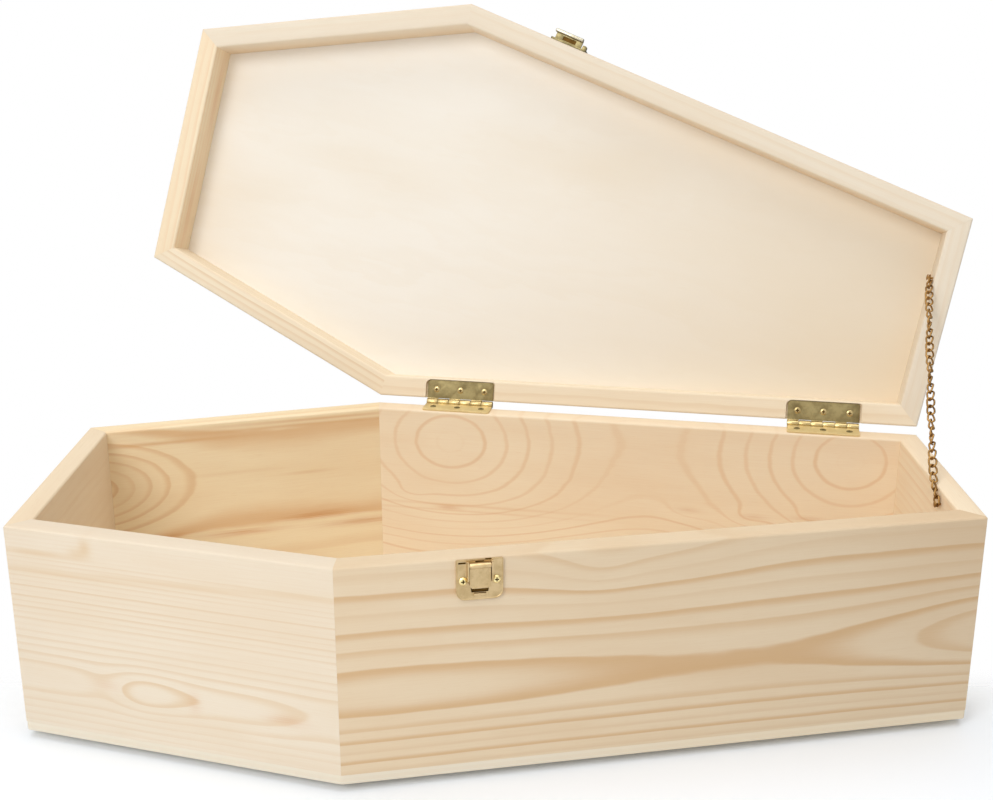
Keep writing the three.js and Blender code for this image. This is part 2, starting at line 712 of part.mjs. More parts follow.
const catchHeads = [CATCH_HEAD_RADIUS, CATCH_HEAD_HEIGHT];
for (const mesh of [
  piece('catch_plate', catchPlateSolid(), brass),
  piece('catch_lever', catchLeverSolid(), brass),
  piece('catch_pin', catchPinSolid(), brass),
]) {
  mesh.applyMatrix4(catchFrame.matrixWorld);
  coffin.add(mesh);
}
addScrews(coffin, catchFrame, catchScrewPoints(), 'catch_screw', ...catchHeads);

const keeper = piece('keeper', keeperSolid(), brass);
keeper.applyMatrix4(keeperFrame.matrixWorld);
lidShut.add(keeper);
addScrews(lidShut, keeperFrame, keeperScrewPoints(), 'keeper_screw', ...catchHeads);

const boxNail = piece('chain_nail_box', nailSolid(), bronze);
boxNail.position.copy(boxNailPoint);
coffin.add(boxNail);
const lidNail = piece('chain_nail_lid', nailSolid(), bronze);
lidNail.position.copy(lidNailPoint);
lidShut.add(lidNail);
coffin.add(piece('lid_chain', chainSolid(), bronze));
coffin.add(hingeLine);

export default coffin;
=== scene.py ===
# %% [markdown]
# # A coffin-shaped keepsake box in bare pine
# The imported model already has every board and fitting in a plain form. This lesson builds the
# looks on that frame: softened boards with a pine figure, plywood panels, small brass fittings
# and a bronze stay chain.

# %% Load the frame
import json
import math

import bmesh
import bpy
from mathutils import Matrix, Vector

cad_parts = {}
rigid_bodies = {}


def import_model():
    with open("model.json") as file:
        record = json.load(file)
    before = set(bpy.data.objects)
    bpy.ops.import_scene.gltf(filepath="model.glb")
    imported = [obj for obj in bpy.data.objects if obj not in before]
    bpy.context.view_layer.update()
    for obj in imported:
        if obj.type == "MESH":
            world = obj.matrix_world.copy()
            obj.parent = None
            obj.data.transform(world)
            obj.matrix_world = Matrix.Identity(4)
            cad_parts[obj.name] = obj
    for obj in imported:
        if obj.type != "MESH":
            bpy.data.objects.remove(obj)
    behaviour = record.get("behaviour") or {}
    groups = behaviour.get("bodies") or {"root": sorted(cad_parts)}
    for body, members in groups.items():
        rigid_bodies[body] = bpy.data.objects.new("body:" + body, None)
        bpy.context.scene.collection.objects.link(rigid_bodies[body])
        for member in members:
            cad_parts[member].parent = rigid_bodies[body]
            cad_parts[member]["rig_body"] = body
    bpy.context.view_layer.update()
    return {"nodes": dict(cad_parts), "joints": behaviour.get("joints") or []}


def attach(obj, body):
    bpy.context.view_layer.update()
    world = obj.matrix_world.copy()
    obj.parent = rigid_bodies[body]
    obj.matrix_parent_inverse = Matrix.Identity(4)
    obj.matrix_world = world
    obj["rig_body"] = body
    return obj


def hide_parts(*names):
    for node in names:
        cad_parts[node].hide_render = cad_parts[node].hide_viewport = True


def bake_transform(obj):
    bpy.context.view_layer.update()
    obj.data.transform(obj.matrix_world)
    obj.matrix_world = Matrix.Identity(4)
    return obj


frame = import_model()
MM = 0.001
print("nodes in the frame:", len(frame["nodes"]))

# %% [markdown]
# ## Camera
# A camera can be set by eye, or worked out from known corners. Here the corners of the box and
# of the open lid were matched with their places in the picture, which gives the camera's place,
# its turn and its focal length in pixels.

# %% Camera
PICTURE_WIDTH = 993
FOCAL_PIXELS = 1368.24
SENSOR_WIDTH = 36.0
NEAREST_SEEN = 0.01
CAMERA_PLACE = Vector((2.495, -569.307, 311.053)) * MM
CAMERA_DOWN = math.radians(17.8889)
CAMERA_TURN = math.radians(0.3636)
CAMERA_ROLL = math.radians(-0.0994)

lens = bpy.data.cameras.new("picture_view")
lens.sensor_fit = "HORIZONTAL"
lens.sensor_width = SENSOR_WIDTH
lens.lens = FOCAL_PIXELS * SENSOR_WIDTH / PICTURE_WIDTH
lens.clip_start = NEAREST_SEEN
camera = bpy.data.objects.new("picture_view", lens)
bpy.context.scene.collection.objects.link(camera)
camera.matrix_world = (
    Matrix.Translation(CAMERA_PLACE)
    @ Matrix.Rotation(CAMERA_TURN, 4, "Z")
    @ Matrix.Rotation(math.pi / 2 - CAMERA_DOWN, 4, "X")
    @ Matrix.Rotation(CAMERA_ROLL, 4, "Z")
)
bpy.context.scene.camera = camera
print("focal length in mm:", round(lens.lens, 2))

# %% [markdown]
# ## Hand tools
# Each helper is one habit of working by hand: clear the selection, add a block or a rod at its
# size, open it in edit mode, pick edges or faces by their place, and cut one piece with another.
# Lengths are given in millimetres and turned into metres here, once.


# %% Hand tools: selecting and settling
def take(piece):
    bpy.ops.object.select_all(action="DESELECT")
    piece.select_set(True)
    bpy.context.view_layer.objects.active = piece


def settle(piece, place=None):
    take(piece)
    if place is not None:
        piece.matrix_world = place @ piece.matrix_world
    bpy.ops.object.transform_apply(location=True, rotation=True, scale=True)
    return piece


def block(name, low, high):
    bpy.ops.object.select_all(action="DESELECT")
    low = Vector(low) * MM
    high = Vector(high) * MM
    bpy.ops.mesh.primitive_cube_add(size=1, location=(low + high) / 2)
    piece = bpy.context.object
    piece.name = name
    piece.scale = high - low
    return settle(piece)


def rod(name, radius, low, high, sides):
    bpy.ops.object.select_all(action="DESELECT")
    centre = Vector(((low + high) / 2, 0, 0)) * MM
    bpy.ops.mesh.primitive_cylinder_add(
        vertices=sides, radius=radius * MM, depth=(high - low) * MM,
        location=centre, rotation=(0, math.pi / 2, 0),
    )
    piece = bpy.context.object
    piece.name = name
    return settle(piece)


print("block and rod tools ready")

# %% Hand tools: edit mode
ALIGNED = 0.99


def open_edit(piece):
    take(piece)
    bpy.ops.object.mode_set(mode="EDIT")
    bpy.ops.mesh.select_all(action="DESELECT")


def close_edit():
    bpy.ops.object.mode_set(mode="OBJECT")


def pick(piece, kind, wanted):
    bpy.ops.mesh.select_mode(type=kind)
    bpy.ops.mesh.select_all(action="DESELECT")
    mesh = bmesh.from_edit_mesh(piece.data)
    items = {"VERT": mesh.verts, "EDGE": mesh.edges, "FACE": mesh.faces}[kind]
    chosen = [item for item in items if wanted(item)]
    for item in chosen:
        item.select_set(True)
    mesh.select_flush_mode()
    bmesh.update_edit_mesh(piece.data)
    return len(chosen)


def middle(edge):
    return (edge.verts[0].co + edge.verts[1].co) / (2 * MM)


def runs_along(edge, axis):
    return abs((edge.verts[1].co - edge.verts[0].co).normalized()[axis]) > ALIGNED


def round_edges(piece, wanted, size, steps):
    open_edit(piece)
    count = pick(piece, "EDGE", wanted)
    if count:
        bpy.ops.mesh.bevel(offset=size * MM, segments=steps, affect="EDGES", clamp_overlap=True)
    close_edit()
    return count


print("edit mode tools ready")


# %% Hand tools: cutting and joining
def combine(piece, other, operation):
    take(piece)
    tool = piece.modifiers.new("combine", "BOOLEAN")
    tool.operation = operation
    tool.solver = "EXACT"
    tool.object = other
    bpy.ops.object.modifier_apply(modifier=tool.name)
    bpy.data.objects.remove(other, do_unlink=True)
    return piece


def join(pieces):
    take(pieces[0])
    for piece in pieces[1:]:
        piece.select_set(True)
    bpy.ops.object.join()
    return bpy.context.object


def copy_piece(piece, name):
    twin = piece.copy()
    twin.data = piece.data.copy()
    twin.name = name
    bpy.context.scene.collection.objects.link(twin)
    return twin


print("cutting and joining tools ready")

# %% Hand tools: finishing and fitting
SOFT_STEPS = 2
SOFT_ABOVE = math.radians(40)


def soften(piece, width):
    take(piece)
    tool = piece.modifiers.new("soften", "BEVEL")
    tool.width = width * MM
    tool.segments = SOFT_STEPS
    tool.limit_method = "ANGLE"
    tool.angle_limit = SOFT_ABOVE
    bpy.ops.object.modifier_apply(modifier=tool.name)
    return piece


def smooth(piece, angle=40):
    take(piece)
    bpy.ops.object.shade_smooth_by_angle(angle=math.radians(angle))
    return piece


def stand_for(piece, node):
    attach(piece, frame["nodes"][node]["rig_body"])
    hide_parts(node)
    return piece


def fit(piece, node, material):
    piece.data.materials.clear()
    piece.data.materials.append(material)
    return stand_for(piece, node)


print("finishing and fitting tools ready")

# %% [markdown]
# ## Node tools
# Finishes are built from nodes by hand, one node at a time. These helpers add a node, set its
# sockets and hand back the output that the next node needs.


# %% Node tools: single nodes
def wire(tree, value, socket):
    if isinstance(value, bpy.types.NodeSocket):
        tree.links.new(value, socket)
    else:
        socket.default_value = value


def put(tree, kind, values=(), **settings):
    node = tree.nodes.new(kind)
    for label, setting in settings.items():
        setattr(node, label, setting)
    for label, value in dict(values).items():
        wire(tree, value, node.inputs[label])
    return node


def calc(tree, operation, *values):
    node = tree.nodes.new("ShaderNodeMath")
    node.operation = operation
    for place, value in enumerate(values):
        wire(tree, value, node.inputs[place])
    return node.outputs[0]


def ramp(tree, value, low, high, start=0.0, end=1.0):
    values = {"Value": value, "From Min": low, "From Max": high, "To Min": start, "To Max": end}
    return put(tree, "ShaderNodeMapRange", values, interpolation_type="SMOOTHSTEP").outputs[0]


MIX_FIRST = 6
MIX_SECOND = 7
MIX_RESULT = 2


def mix(tree, share, first, second, way="MIX"):
    node = put(tree, "ShaderNodeMix", {0: share}, data_type="RGBA", blend_type=way)
    wire(tree, first, node.inputs[MIX_FIRST])
    wire(tree, second, node.inputs[MIX_SECOND])
    return node.outputs[MIX_RESULT]


print("tools for single nodes ready")


# %% Node tools: noise and groups
def grain_noise(tree, point, stretch, detail=2.0, roughness=0.5):
    scaled = put(tree, "ShaderNodeMapping", {"Vector": point, "Scale": stretch}).outputs[0]
    values = {"Vector": scaled, "Scale": 1.0, "Detail": detail, "Roughness": roughness}
    return put(tree, "ShaderNodeTexNoise", values).outputs["Fac"]


def new_group(name, inputs, outputs):
    group = bpy.data.node_groups.new(name, "ShaderNodeTree")
    for label, default in inputs.items():
        kind = "NodeSocketFloat"
        if isinstance(default, tuple):
            kind = "NodeSocketColor" if len(default) == 4 else "NodeSocketVector"
        socket = group.interface.new_socket(name=label, in_out="INPUT", socket_type=kind)
        socket.default_value = default
    for label, kind in outputs.items():
        group.interface.new_socket(name=label, in_out="OUTPUT", socket_type=kind)
    start = group.nodes.new("NodeGroupInput").outputs
    end = group.nodes.new("NodeGroupOutput").inputs
    return group, start, end


print("tools for noise and groups ready")

# %% [markdown]
# ## Floor and light
# The box stands on a plain pale floor in soft light. The floor lies a little below the base, so
# the shadow shows as a soft dark line, and it fades away into the white surround further back.
# The key light comes from the front left, so the left front board is the brighter one. A wide
# light above and the pale surround keep the shadows soft. Brass needs something to mirror, so
# for glossy rays alone the surround is bright on one side and dim on the other, as beside a
# softbox. The plain view transform keeps pale wood pale.

# %% Floor
FLOOR_SIZE = 4.0
FLOOR_DROP = 0.0036
FLOOR_FADE = (-0.05, 0.0)
FLOOR_ROUGHNESS = 0.9


def srgb(red, green, blue):
    def linear(value):
        share = value / 255
        if share <= 0.04045:
            return share / 12.92
        return ((share + 0.055) / 1.055) ** 2.4

    return (linear(red), linear(green), linear(blue), 1.0)


bpy.ops.object.select_all(action="DESELECT")
bpy.ops.mesh.primitive_plane_add(size=FLOOR_SIZE, location=(0, 0, -FLOOR_DROP))
floor = bpy.context.object
floor.name = "floor"
paper = bpy.data.materials.new("pale_floor")
paper.use_nodes = True
paper_tree = paper.node_tree
paper_skin = paper_tree.nodes["Principled BSDF"].inputs
paper_skin["Base Color"].default_value = srgb(246, 250, 255)
paper_skin["Roughness"].default_value = FLOOR_ROUGHNESS
spot = put(paper_tree, "ShaderNodeTexCoord").outputs["Object"]
parts = put(paper_tree, "ShaderNodeSeparateXYZ", {0: spot}).outputs
wire(paper_tree, ramp(paper_tree, parts[1], *FLOOR_FADE, 1.0, 0.0), paper_skin["Alpha"])
floor.data.materials.append(paper)
print("floor size in m:", FLOOR_SIZE)

# %% Surround
SURROUND_STRENGTH = 0.42
SOFTBOX_WAY = (-0.35, -0.62, 0.7)
SHINE_RANGE = (-0.35, 0.55)
SHINE_DARK = 0.12
SHINE_BRIGHT = 1.15
LEVEL_FIRST = 2
LEVEL_SECOND = 3


def choose(tree, share, first, second):
    values = {0: share, LEVEL_FIRST: first, LEVEL_SECOND: second}
    return put(tree, "ShaderNodeMix", values).outputs[0]


surround = bpy.data.worlds.new("surround")
surround.use_nodes = True
sky = surround.node_tree
rays = put(sky, "ShaderNodeLightPath").outputs
way = put(sky, "ShaderNodeTexCoord").outputs["Generated"]
towards = put(sky, "ShaderNodeVectorMath", {0: way, 1: SOFTBOX_WAY}, operation="DOT_PRODUCT")
shine = ramp(sky, towards.outputs["Value"], *SHINE_RANGE, SHINE_DARK, SHINE_BRIGHT)
level = choose(sky, rays["Is Glossy Ray"], SURROUND_STRENGTH, shine)
level = choose(sky, rays["Is Camera Ray"], level, 1.0)
backdrop = sky.nodes["Background"].inputs
wire(sky, level, backdrop["Strength"])
backdrop["Color"].default_value = (1.0, 1.0, 1.0, 1.0)
bpy.context.scene.world = surround
bpy.context.scene.view_settings.view_transform = "Standard"
print("surround strength:", SURROUND_STRENGTH)

# %% Lights
KEY_PLACE = (-0.6, -1.0, 0.9)
KEY_TARGET = (0.0, 0.0, 0.12)
KEY_SIZE = 0.7
KEY_POWER = 7.6
OVERHEAD_POWER = 1.3
OVERHEAD_SPREAD = math.radians(60)


def hang(lamp):
    holder = bpy.data.objects.new(lamp.name, lamp)
    bpy.context.scene.collection.objects.link(holder)
    return holder


key = bpy.data.lights.new("key", "AREA")
key.shape = "DISK"
key.size = KEY_SIZE
key.energy = KEY_POWER
key_holder = hang(key)
key_holder.location = KEY_PLACE
aim = Vector(KEY_TARGET) - Vector(KEY_PLACE)
key_holder.rotation_euler = aim.to_track_quat("-Z", "Y").to_euler()
overhead = bpy.data.lights.new("overhead", "SUN")
overhead.energy = OVERHEAD_POWER
overhead.angle = OVERHEAD_SPREAD
hang(overhead)
print("lights:", [item.name for item in bpy.data.lights])

# %% [markdown]
# ## Pine
# A sawn board shows the tree's growth rings as lines. Near the heart they open into flames and
# ovals, further out they run straight. A picture of wood could be wrapped round each board, but
# then the lines would not pass over its edges. Here each board is cut from a tree in thought:
# every point knows how far it lies from the heart, and the rings are counted off from there.
# Swells are places where the tree bulged, and they bend the rings into ovals and flames. Eyes
# are places where the rings close round a knot. In quiet places the lines fade, bands are soft
# streaks of late wood, and stains are streaks of resin. On the two upper lid rails one band is
# painted shade in the crease next to the panel.


# %% Group: one swell of the tree
def add_squares(tree, first, second):
    first_square = calc(tree, "MULTIPLY", first, first)
    second_square = calc(tree, "MULTIPLY", second, second)
    return calc(tree, "ADD", first_square, second_square)


def oval_square(group, start, half_length, half_height):
    parts = put(group, "ShaderNodeSeparateXYZ", {0: start["Point"]}).outputs
    along = calc(group, "SUBTRACT", parts[0], start["Along"])
    up = calc(group, "SUBTRACT", parts[1], start["Up"])
    along = calc(group, "DIVIDE", along, start[half_length])
    up = calc(group, "DIVIDE", up, start[half_height])
    return add_squares(group, along, up)


swell_group, start, end = new_group(
    "growth swell",
    {"Point": (0.0, 0.0, 0.0), "Along": 0.0, "Up": 0.0, "Half Length": 20.0,
     "Half Height": 10.0, "Amount": 1.0},
    {"Value": "NodeSocketFloat"},
)
away = oval_square(swell_group, start, "Half Length", "Half Height")
bell = calc(swell_group, "EXPONENT", calc(swell_group, "MULTIPLY", away, -1.0))
wire(swell_group, calc(swell_group, "MULTIPLY", bell, start["Amount"]), end["Value"])
print("group:", swell_group.name)

# %% Group: an eye, where the rings close round a knot below the face
eye_group, start, end = new_group(
    "growth eye",
    {"Point": (0.0, 0.0, 0.0), "Along": 0.0, "Up": 0.0, "Ring Length": 10.0, "Ring Height": 8.0},
    {"Rings": "NodeSocketFloat"},
)
away = oval_square(eye_group, start, "Ring Length", "Ring Height")
wire(eye_group, calc(eye_group, "SQRT", away), end["Rings"])
print("group:", eye_group.name)

# %% Group: counting the rings from the heart
BEND_GRAIN = (0.012, 0.03, 0.03)
BEND_AMOUNT = 2.0
RIPPLE_GRAIN = (0.05, 0.2, 0.2)
RIPPLE_AMOUNT = 0.6


def wave(group, point, grain, amount):
    lean = calc(group, "SUBTRACT", grain_noise(group, point, grain), 0.5)
    return calc(group, "MULTIPLY", lean, amount)


rings_group, start, end = new_group(
    "growth rings",
    {"Point": (0.0, 0.0, 0.0), "Heart Up": 0.0, "Heart Deep": 10.0, "Ring Width": 4.0,
     "Tighten": 0.0, "Wander": 0.6, "Tree": 0.0},
    {"Rings": "NodeSocketFloat", "Sway": "NodeSocketFloat"},
)
parts = put(rings_group, "ShaderNodeSeparateXYZ", {0: start["Point"]}).outputs
up = calc(rings_group, "SUBTRACT", parts[1], start["Heart Up"])
deep = calc(rings_group, "ADD", parts[2], start["Heart Deep"])
square = add_squares(rings_group, up, deep)
rings = calc(rings_group, "DIVIDE", calc(rings_group, "SQRT", square), start["Ring Width"])
rings = calc(rings_group, "MULTIPLY_ADD", square, start["Tighten"], rings)
wire(rings_group, rings, end["Rings"])
shift = put(rings_group, "ShaderNodeCombineXYZ", {0: start["Tree"], 1: start["Tree"]}).outputs[0]
shifted = {0: start["Point"], 1: shift}
own_point = put(rings_group, "ShaderNodeVectorMath", shifted, operation="ADD").outputs[0]
bend = wave(rings_group, own_point, BEND_GRAIN, BEND_AMOUNT)
ripple = wave(rings_group, own_point, RIPPLE_GRAIN, RIPPLE_AMOUNT)
sway = calc(rings_group, "MULTIPLY", calc(rings_group, "ADD", bend, ripple), start["Wander"])
wire(rings_group, sway, end["Sway"])
print("group:", rings_group.name)

# %% Group: colouring the rings
RING_PEAK = 0.84
RING_FALL = (0.88, 1.0)
YEAR_RANGE = 0.8
YEAR_LEAST = 0.35
figure_group, start, end = new_group(
    "pine figure",
    {"Point": (0.0, 0.0, 0.0), "Rings": 0.0, "Tree": 0.0, "Contrast": 1.0, "Fine": 0.25,
     "Grain": 1.0, "Early Wood": srgb(240, 226, 200), "Late Wood": srgb(205, 165, 110)},
    {"Color": "NodeSocketColor", "Late": "NodeSocketFloat", "Fibre": "NodeSocketFloat"},
)
share = calc(figure_group, "FRACT", start["Rings"])
rise = ramp(figure_group, share, start["Fine"], RING_PEAK)
fall = ramp(figure_group, share, *RING_FALL, 1.0, 0.0)
band = calc(figure_group, "MULTIPLY", rise, fall)
year = calc(figure_group, "ADD", calc(figure_group, "FLOOR", start["Rings"]), start["Tree"])
chance = put(figure_group, "ShaderNodeTexWhiteNoise", {"W": year}, noise_dimensions="1D")
weight = calc(figure_group, "MULTIPLY_ADD", chance.outputs["Value"], YEAR_RANGE, YEAR_LEAST)
late = calc(figure_group, "MULTIPLY", band, weight)
late = calc(figure_group, "MULTIPLY", late, start["Contrast"])
colour = mix(figure_group, late, start["Early Wood"], start["Late Wood"])
wire(figure_group, late, end["Late"])
print("group:", figure_group.name)

# %% Group: clouds, fibres and flecks over the rings
CLOUD_GRAIN = (0.012, 0.05, 0.05)
CLOUD_FROM = (0.35, 0.7)
CLOUD_SHARE = 0.13
FIBRE_GRAIN = (0.05, 2.2, 2.2)
FIBRE_FROM = (0.3, 0.75)
FIBRE_SHARE = 0.08
FLECK_GRAIN = (0.16, 3.2, 3.2)
FLECK_FROM = (0.64, 0.76)
FLECK_SHARE = 0.14
cloud = grain_noise(figure_group, start["Point"], CLOUD_GRAIN)
fibre = grain_noise(figure_group, start["Point"], FIBRE_GRAIN, detail=3.0)
fleck = grain_noise(figure_group, start["Point"], FLECK_GRAIN, detail=1.0)
warm = mix(figure_group, CLOUD_SHARE, start["Early Wood"], start["Late Wood"])
layers = (
    (ramp(figure_group, cloud, *CLOUD_FROM), warm, "DARKEN"),
    (ramp(figure_group, fibre, *FIBRE_FROM, 0.0, FIBRE_SHARE), start["Late Wood"], "MIX"),
    (ramp(figure_group, fleck, *FLECK_FROM, 0.0, FLECK_SHARE), start["Late Wood"], "MIX"),
)
for share, tint, way in layers:
    share = calc(figure_group, "MULTIPLY", share, start["Grain"])
    colour = mix(figure_group, share, colour, tint, way)
wire(figure_group, colour, end["Color"])
wire(figure_group, fibre, end["Fibre"])
print("layers over the rings:", len(layers))


# %% Placing a group on a board
def place_group(tree, group, values):
    node = tree.nodes.new("ShaderNodeGroup")
    node.node_tree = group
    for label, value in values.items():
        wire(tree, value, node.inputs[label])
    return node.outputs


def board_point(tree, place):
    spot = tree.nodes.new("ShaderNodeTexCoord").outputs["Object"]
    values = {
        "Vector": spot,
        "Location": place.translation,
        "Rotation": place.to_euler(),
        "Scale": (MM, MM, MM),
    }
    return put(tree, "ShaderNodeMapping", values, vector_type="TEXTURE").outputs[0]


def spread(tree, point, patches):
    total = 0.0
    for along, up, half_length, half_height, amount in patches:
        values = {"Point": point, "Along": along, "Up": up, "Half Length": half_length,
                  "Half Height": half_height, "Amount": amount}
        total = calc(tree, "ADD", total, place_group(tree, swell_group, values)["Value"])
    return total


print("groups can be placed on a board")

# %% Counting the rings of one board
EYE_MERGE = 4.0
EYE_LEAST = 0.05
USUAL_WANDER = 0.5


def close_round_eyes(tree, point, rings, eyes, merge):
    near = calc(tree, "POWER", rings, -merge)
    for along, up, ring_length, ring_height in eyes:
        values = {"Point": point, "Along": along, "Up": up, "Ring Length": ring_length,
                  "Ring Height": ring_height}
        eye = calc(tree, "MAXIMUM", place_group(tree, eye_group, values)["Rings"], EYE_LEAST)
        near = calc(tree, "ADD", near, calc(tree, "POWER", eye, -merge))
    return calc(tree, "POWER", near, -1 / merge)


def count_rings(tree, point, look):
    count = place_group(tree, rings_group, {
        "Point": point, "Heart Up": look["heart"][0], "Heart Deep": look["heart"][1],
        "Ring Width": look["ring"], "Tighten": look.get("tighten", 0.0),
        "Wander": look.get("wander", USUAL_WANDER), "Tree": look["tree"],
    })
    rings = count["Rings"]
    if "eyes" in look:
        rings = close_round_eyes(tree, point, rings, look["eyes"], look.get("merge", EYE_MERGE))
    rings = calc(tree, "ADD", rings, count["Sway"])
    return calc(tree, "ADD", rings, spread(tree, point, look.get("swells", ())))


print("ring counting ready")

# %% Pine for one board
STAIN = srgb(206, 136, 72)
STAIN_FROM = (0.25, 0.6)
STAIN_LEAST = 0.4
USUAL_FINE = 0.3
FIBRE_RANGE = (0.2, 0.8)
WOOD_SHINE = 0.3
PINE_ROUGHNESS = (0.56, 0.72)
PINE_RELIEF = 0.25
PINE_RELIEF_DEPTH = 0.00012
LATE_STANDS = 0.5


def bare_material(name):
    material = bpy.data.materials.new(name)
    material.use_nodes = True
    return material, material.node_tree, material.node_tree.nodes["Principled BSDF"].inputs


def wood_surface(tree, skin, fibre, height, roughness, relief, depth):
    wire(tree, ramp(tree, fibre, *FIBRE_RANGE, *roughness), skin["Roughness"])
    bump = put(tree, "ShaderNodeBump", {"Height": height, "Strength": relief, "Distance": depth})
    wire(tree, bump.outputs[0], skin["Normal"])
    skin["Specular IOR Level"].default_value = WOOD_SHINE


def pine(name, place, look):
    material, tree, skin = bare_material(name)
    point = board_point(tree, place)
    quiet = calc(tree, "SUBTRACT", 1.0, spread(tree, point, look.get("quiet", ())))
    contrast = calc(tree, "MULTIPLY", calc(tree, "MAXIMUM", quiet, 0.0), look["contrast"])
    figure = place_group(tree, figure_group, {
        "Point": point, "Rings": count_rings(tree, point, look), "Tree": look["tree"],
        "Contrast": contrast, "Fine": look.get("fine", USUAL_FINE),
        "Early Wood": look["early"], "Late Wood": look["late"],
    })
    fibre = figure["Fibre"]
    # Bands pull the colour towards the late wood; a band along a crease is painted shade.
    colour = mix(tree, spread(tree, point, look.get("bands_and_shade", ())), figure["Color"], look["late"])
    patchy = ramp(tree, fibre, *STAIN_FROM, STAIN_LEAST, 1.0)
    resin = calc(tree, "MULTIPLY", spread(tree, point, look.get("stains", ())), patchy)
    wire(tree, mix(tree, resin, colour, STAIN), skin["Base Color"])
    relief = calc(tree, "MULTIPLY_ADD", figure["Late"], LATE_STANDS, fibre)
    wood_surface(tree, skin, fibre, relief, PINE_ROUGHNESS, PINE_RELIEF, PINE_RELIEF_DEPTH)
    return material


print("pine ready")

# %% [markdown]
# ## Boards of the box
# The plan is a hexagon with its widest place near the head. Each wall is a board sawn from a
# plain block and mitred at both ends. The long edges at the rim are rounded first, as sandpaper
# does, then the block is cut with bisect along the two mitre planes and its outer corners are
# taken off a little.

# %% Plan of the box
LENGTH = 400.0
HEAD_WIDTH = 122.0
SHOULDER_WIDTH = 203.0
FOOT_WIDTH = 102.0
SHOULDER_FROM_HEAD = 138.0
WALL = 10.2
BASE_THICKNESS = 4.2
BOX_HEIGHT = 93.6
LID_GAP = 0.45
RAIL_HEIGHT = 18.6
PANEL_THICKNESS = 4.2
JOINT_GAP = 0.02
CORNER_RADIUS = 0.9
LID_RIM = BOX_HEIGHT + LID_GAP

HALF = LENGTH / 2
SHOULDER_X = SHOULDER_FROM_HEAD - HALF
corners = [
    Vector((-HALF, -HEAD_WIDTH / 2, 0)),
    Vector((SHOULDER_X, -SHOULDER_WIDTH / 2, 0)),
    Vector((HALF, -FOOT_WIDTH / 2, 0)),
    Vector((HALF, FOOT_WIDTH / 2, 0)),
    Vector((SHOULDER_X, SHOULDER_WIDTH / 2, 0)),
    Vector((-HALF, HEAD_WIDTH / 2, 0)),
]
SIDES = ["head_front", "side_front", "foot", "side_back", "head_back", "head"]
UP = Vector((0, 0, 1))
side_along = [(corners[(i + 1) % 6] - corners[i]).normalized() for i in range(6)]
side_out = [direction.cross(UP) for direction in side_along]
corner_out = [(side_out[i - 1] + side_out[i]).normalized() for i in range(6)]
inner_corners = [
    corners[i] - corner_out[i] * (WALL / corner_out[i].dot(side_out[i])) for i in range(6)
]
print("sides:", [round((corners[(i + 1) % 6] - corners[i]).length, 1) for i in range(6)])


# %% Sawing a mitred board
EDGE_ROUND = 1.1
EDGE_STEPS = 5
SHARP_CORNER = 0.1
NEAR = 0.01
SAW_MERGE = 1e-7


def saw_off(point, away):
    bpy.ops.mesh.select_all(action="SELECT")
    bpy.ops.mesh.bisect(
        plane_co=point * MM, plane_no=away, use_fill=True, clear_outer=True, threshold=SAW_MERGE,
    )


def corner_cut(i):
    lean = corner_out[i].dot(side_out[i])
    return CORNER_RADIUS * (1 / lean - 1)


def saw_board(name, i, low, high, rim):
    def at_rim(edge):
        return runs_along(edge, 0) and abs(middle(edge).z - rim) < NEAR

    ends = (i, (i + 1) % 6)
    length = (corners[ends[1]] - corners[ends[0]]).length
    turn = math.atan2(side_along[i].y, side_along[i].x)
    board = block(name, (0, 0, low), (length, WALL, high))
    round_edges(board, at_rim, EDGE_ROUND, EDGE_STEPS)
    settle(board, Matrix.Translation(corners[i] * MM) @ Matrix.Rotation(turn, 4, "Z"))
    open_edit(board)
    for corner, sign in zip(ends, (-1, 1)):
        mitre = corner_out[corner].cross(UP)
        mitre = mitre * sign if mitre.dot(side_along[i]) > 0 else mitre * -sign
        saw_off(corners[corner] - mitre * (JOINT_GAP / 2), mitre)
        cut = corner_cut(corner)
        if cut > SHARP_CORNER:
            saw_off(corners[corner] - corner_out[corner] * cut, corner_out[corner])
    close_edit()
    return smooth(board)


print("corner cuts in mm:", [round(corner_cut(i), 2) for i in range(6)])


# %% Where each board's figure starts
def board_place(start, end, low):
    along = (end - start).normalized()
    place = Matrix.Identity(4)
    place.col[0].xyz = along
    place.col[1].xyz = UP
    place.col[2].xyz = along.cross(UP)
    place.translation = (start + UP * low) * MM
    return place


figure_ends = {
    "head_front": (corners[0], corners[1]),
    "side_front": (corners[1], corners[2]),
    "foot": (inner_corners[3], inner_corners[2]),
    "side_back": (inner_corners[4], inner_corners[3]),
    "head_back": (inner_corners[5], inner_corners[4]),
    "head": (inner_corners[0], inner_corners[5]),
}
print("figures start at:", sorted(figure_ends))

# %% Colours of the pine
CREAM = srgb(232, 218, 197)
CREAM_LINE = srgb(213, 175, 123)
BUFF = srgb(229, 208, 177)
BUFF_LINE = srgb(205, 162, 110)
FAWN = srgb(238, 219, 190)
TAN = srgb(250, 231, 194)
TAN_LINE = srgb(216, 160, 98)
ROSE = srgb(248, 230, 201)
ROSE_LINE = srgb(222, 170, 114)
print("darkest line, linear:", [round(value, 2) for value in BUFF_LINE[:3]])

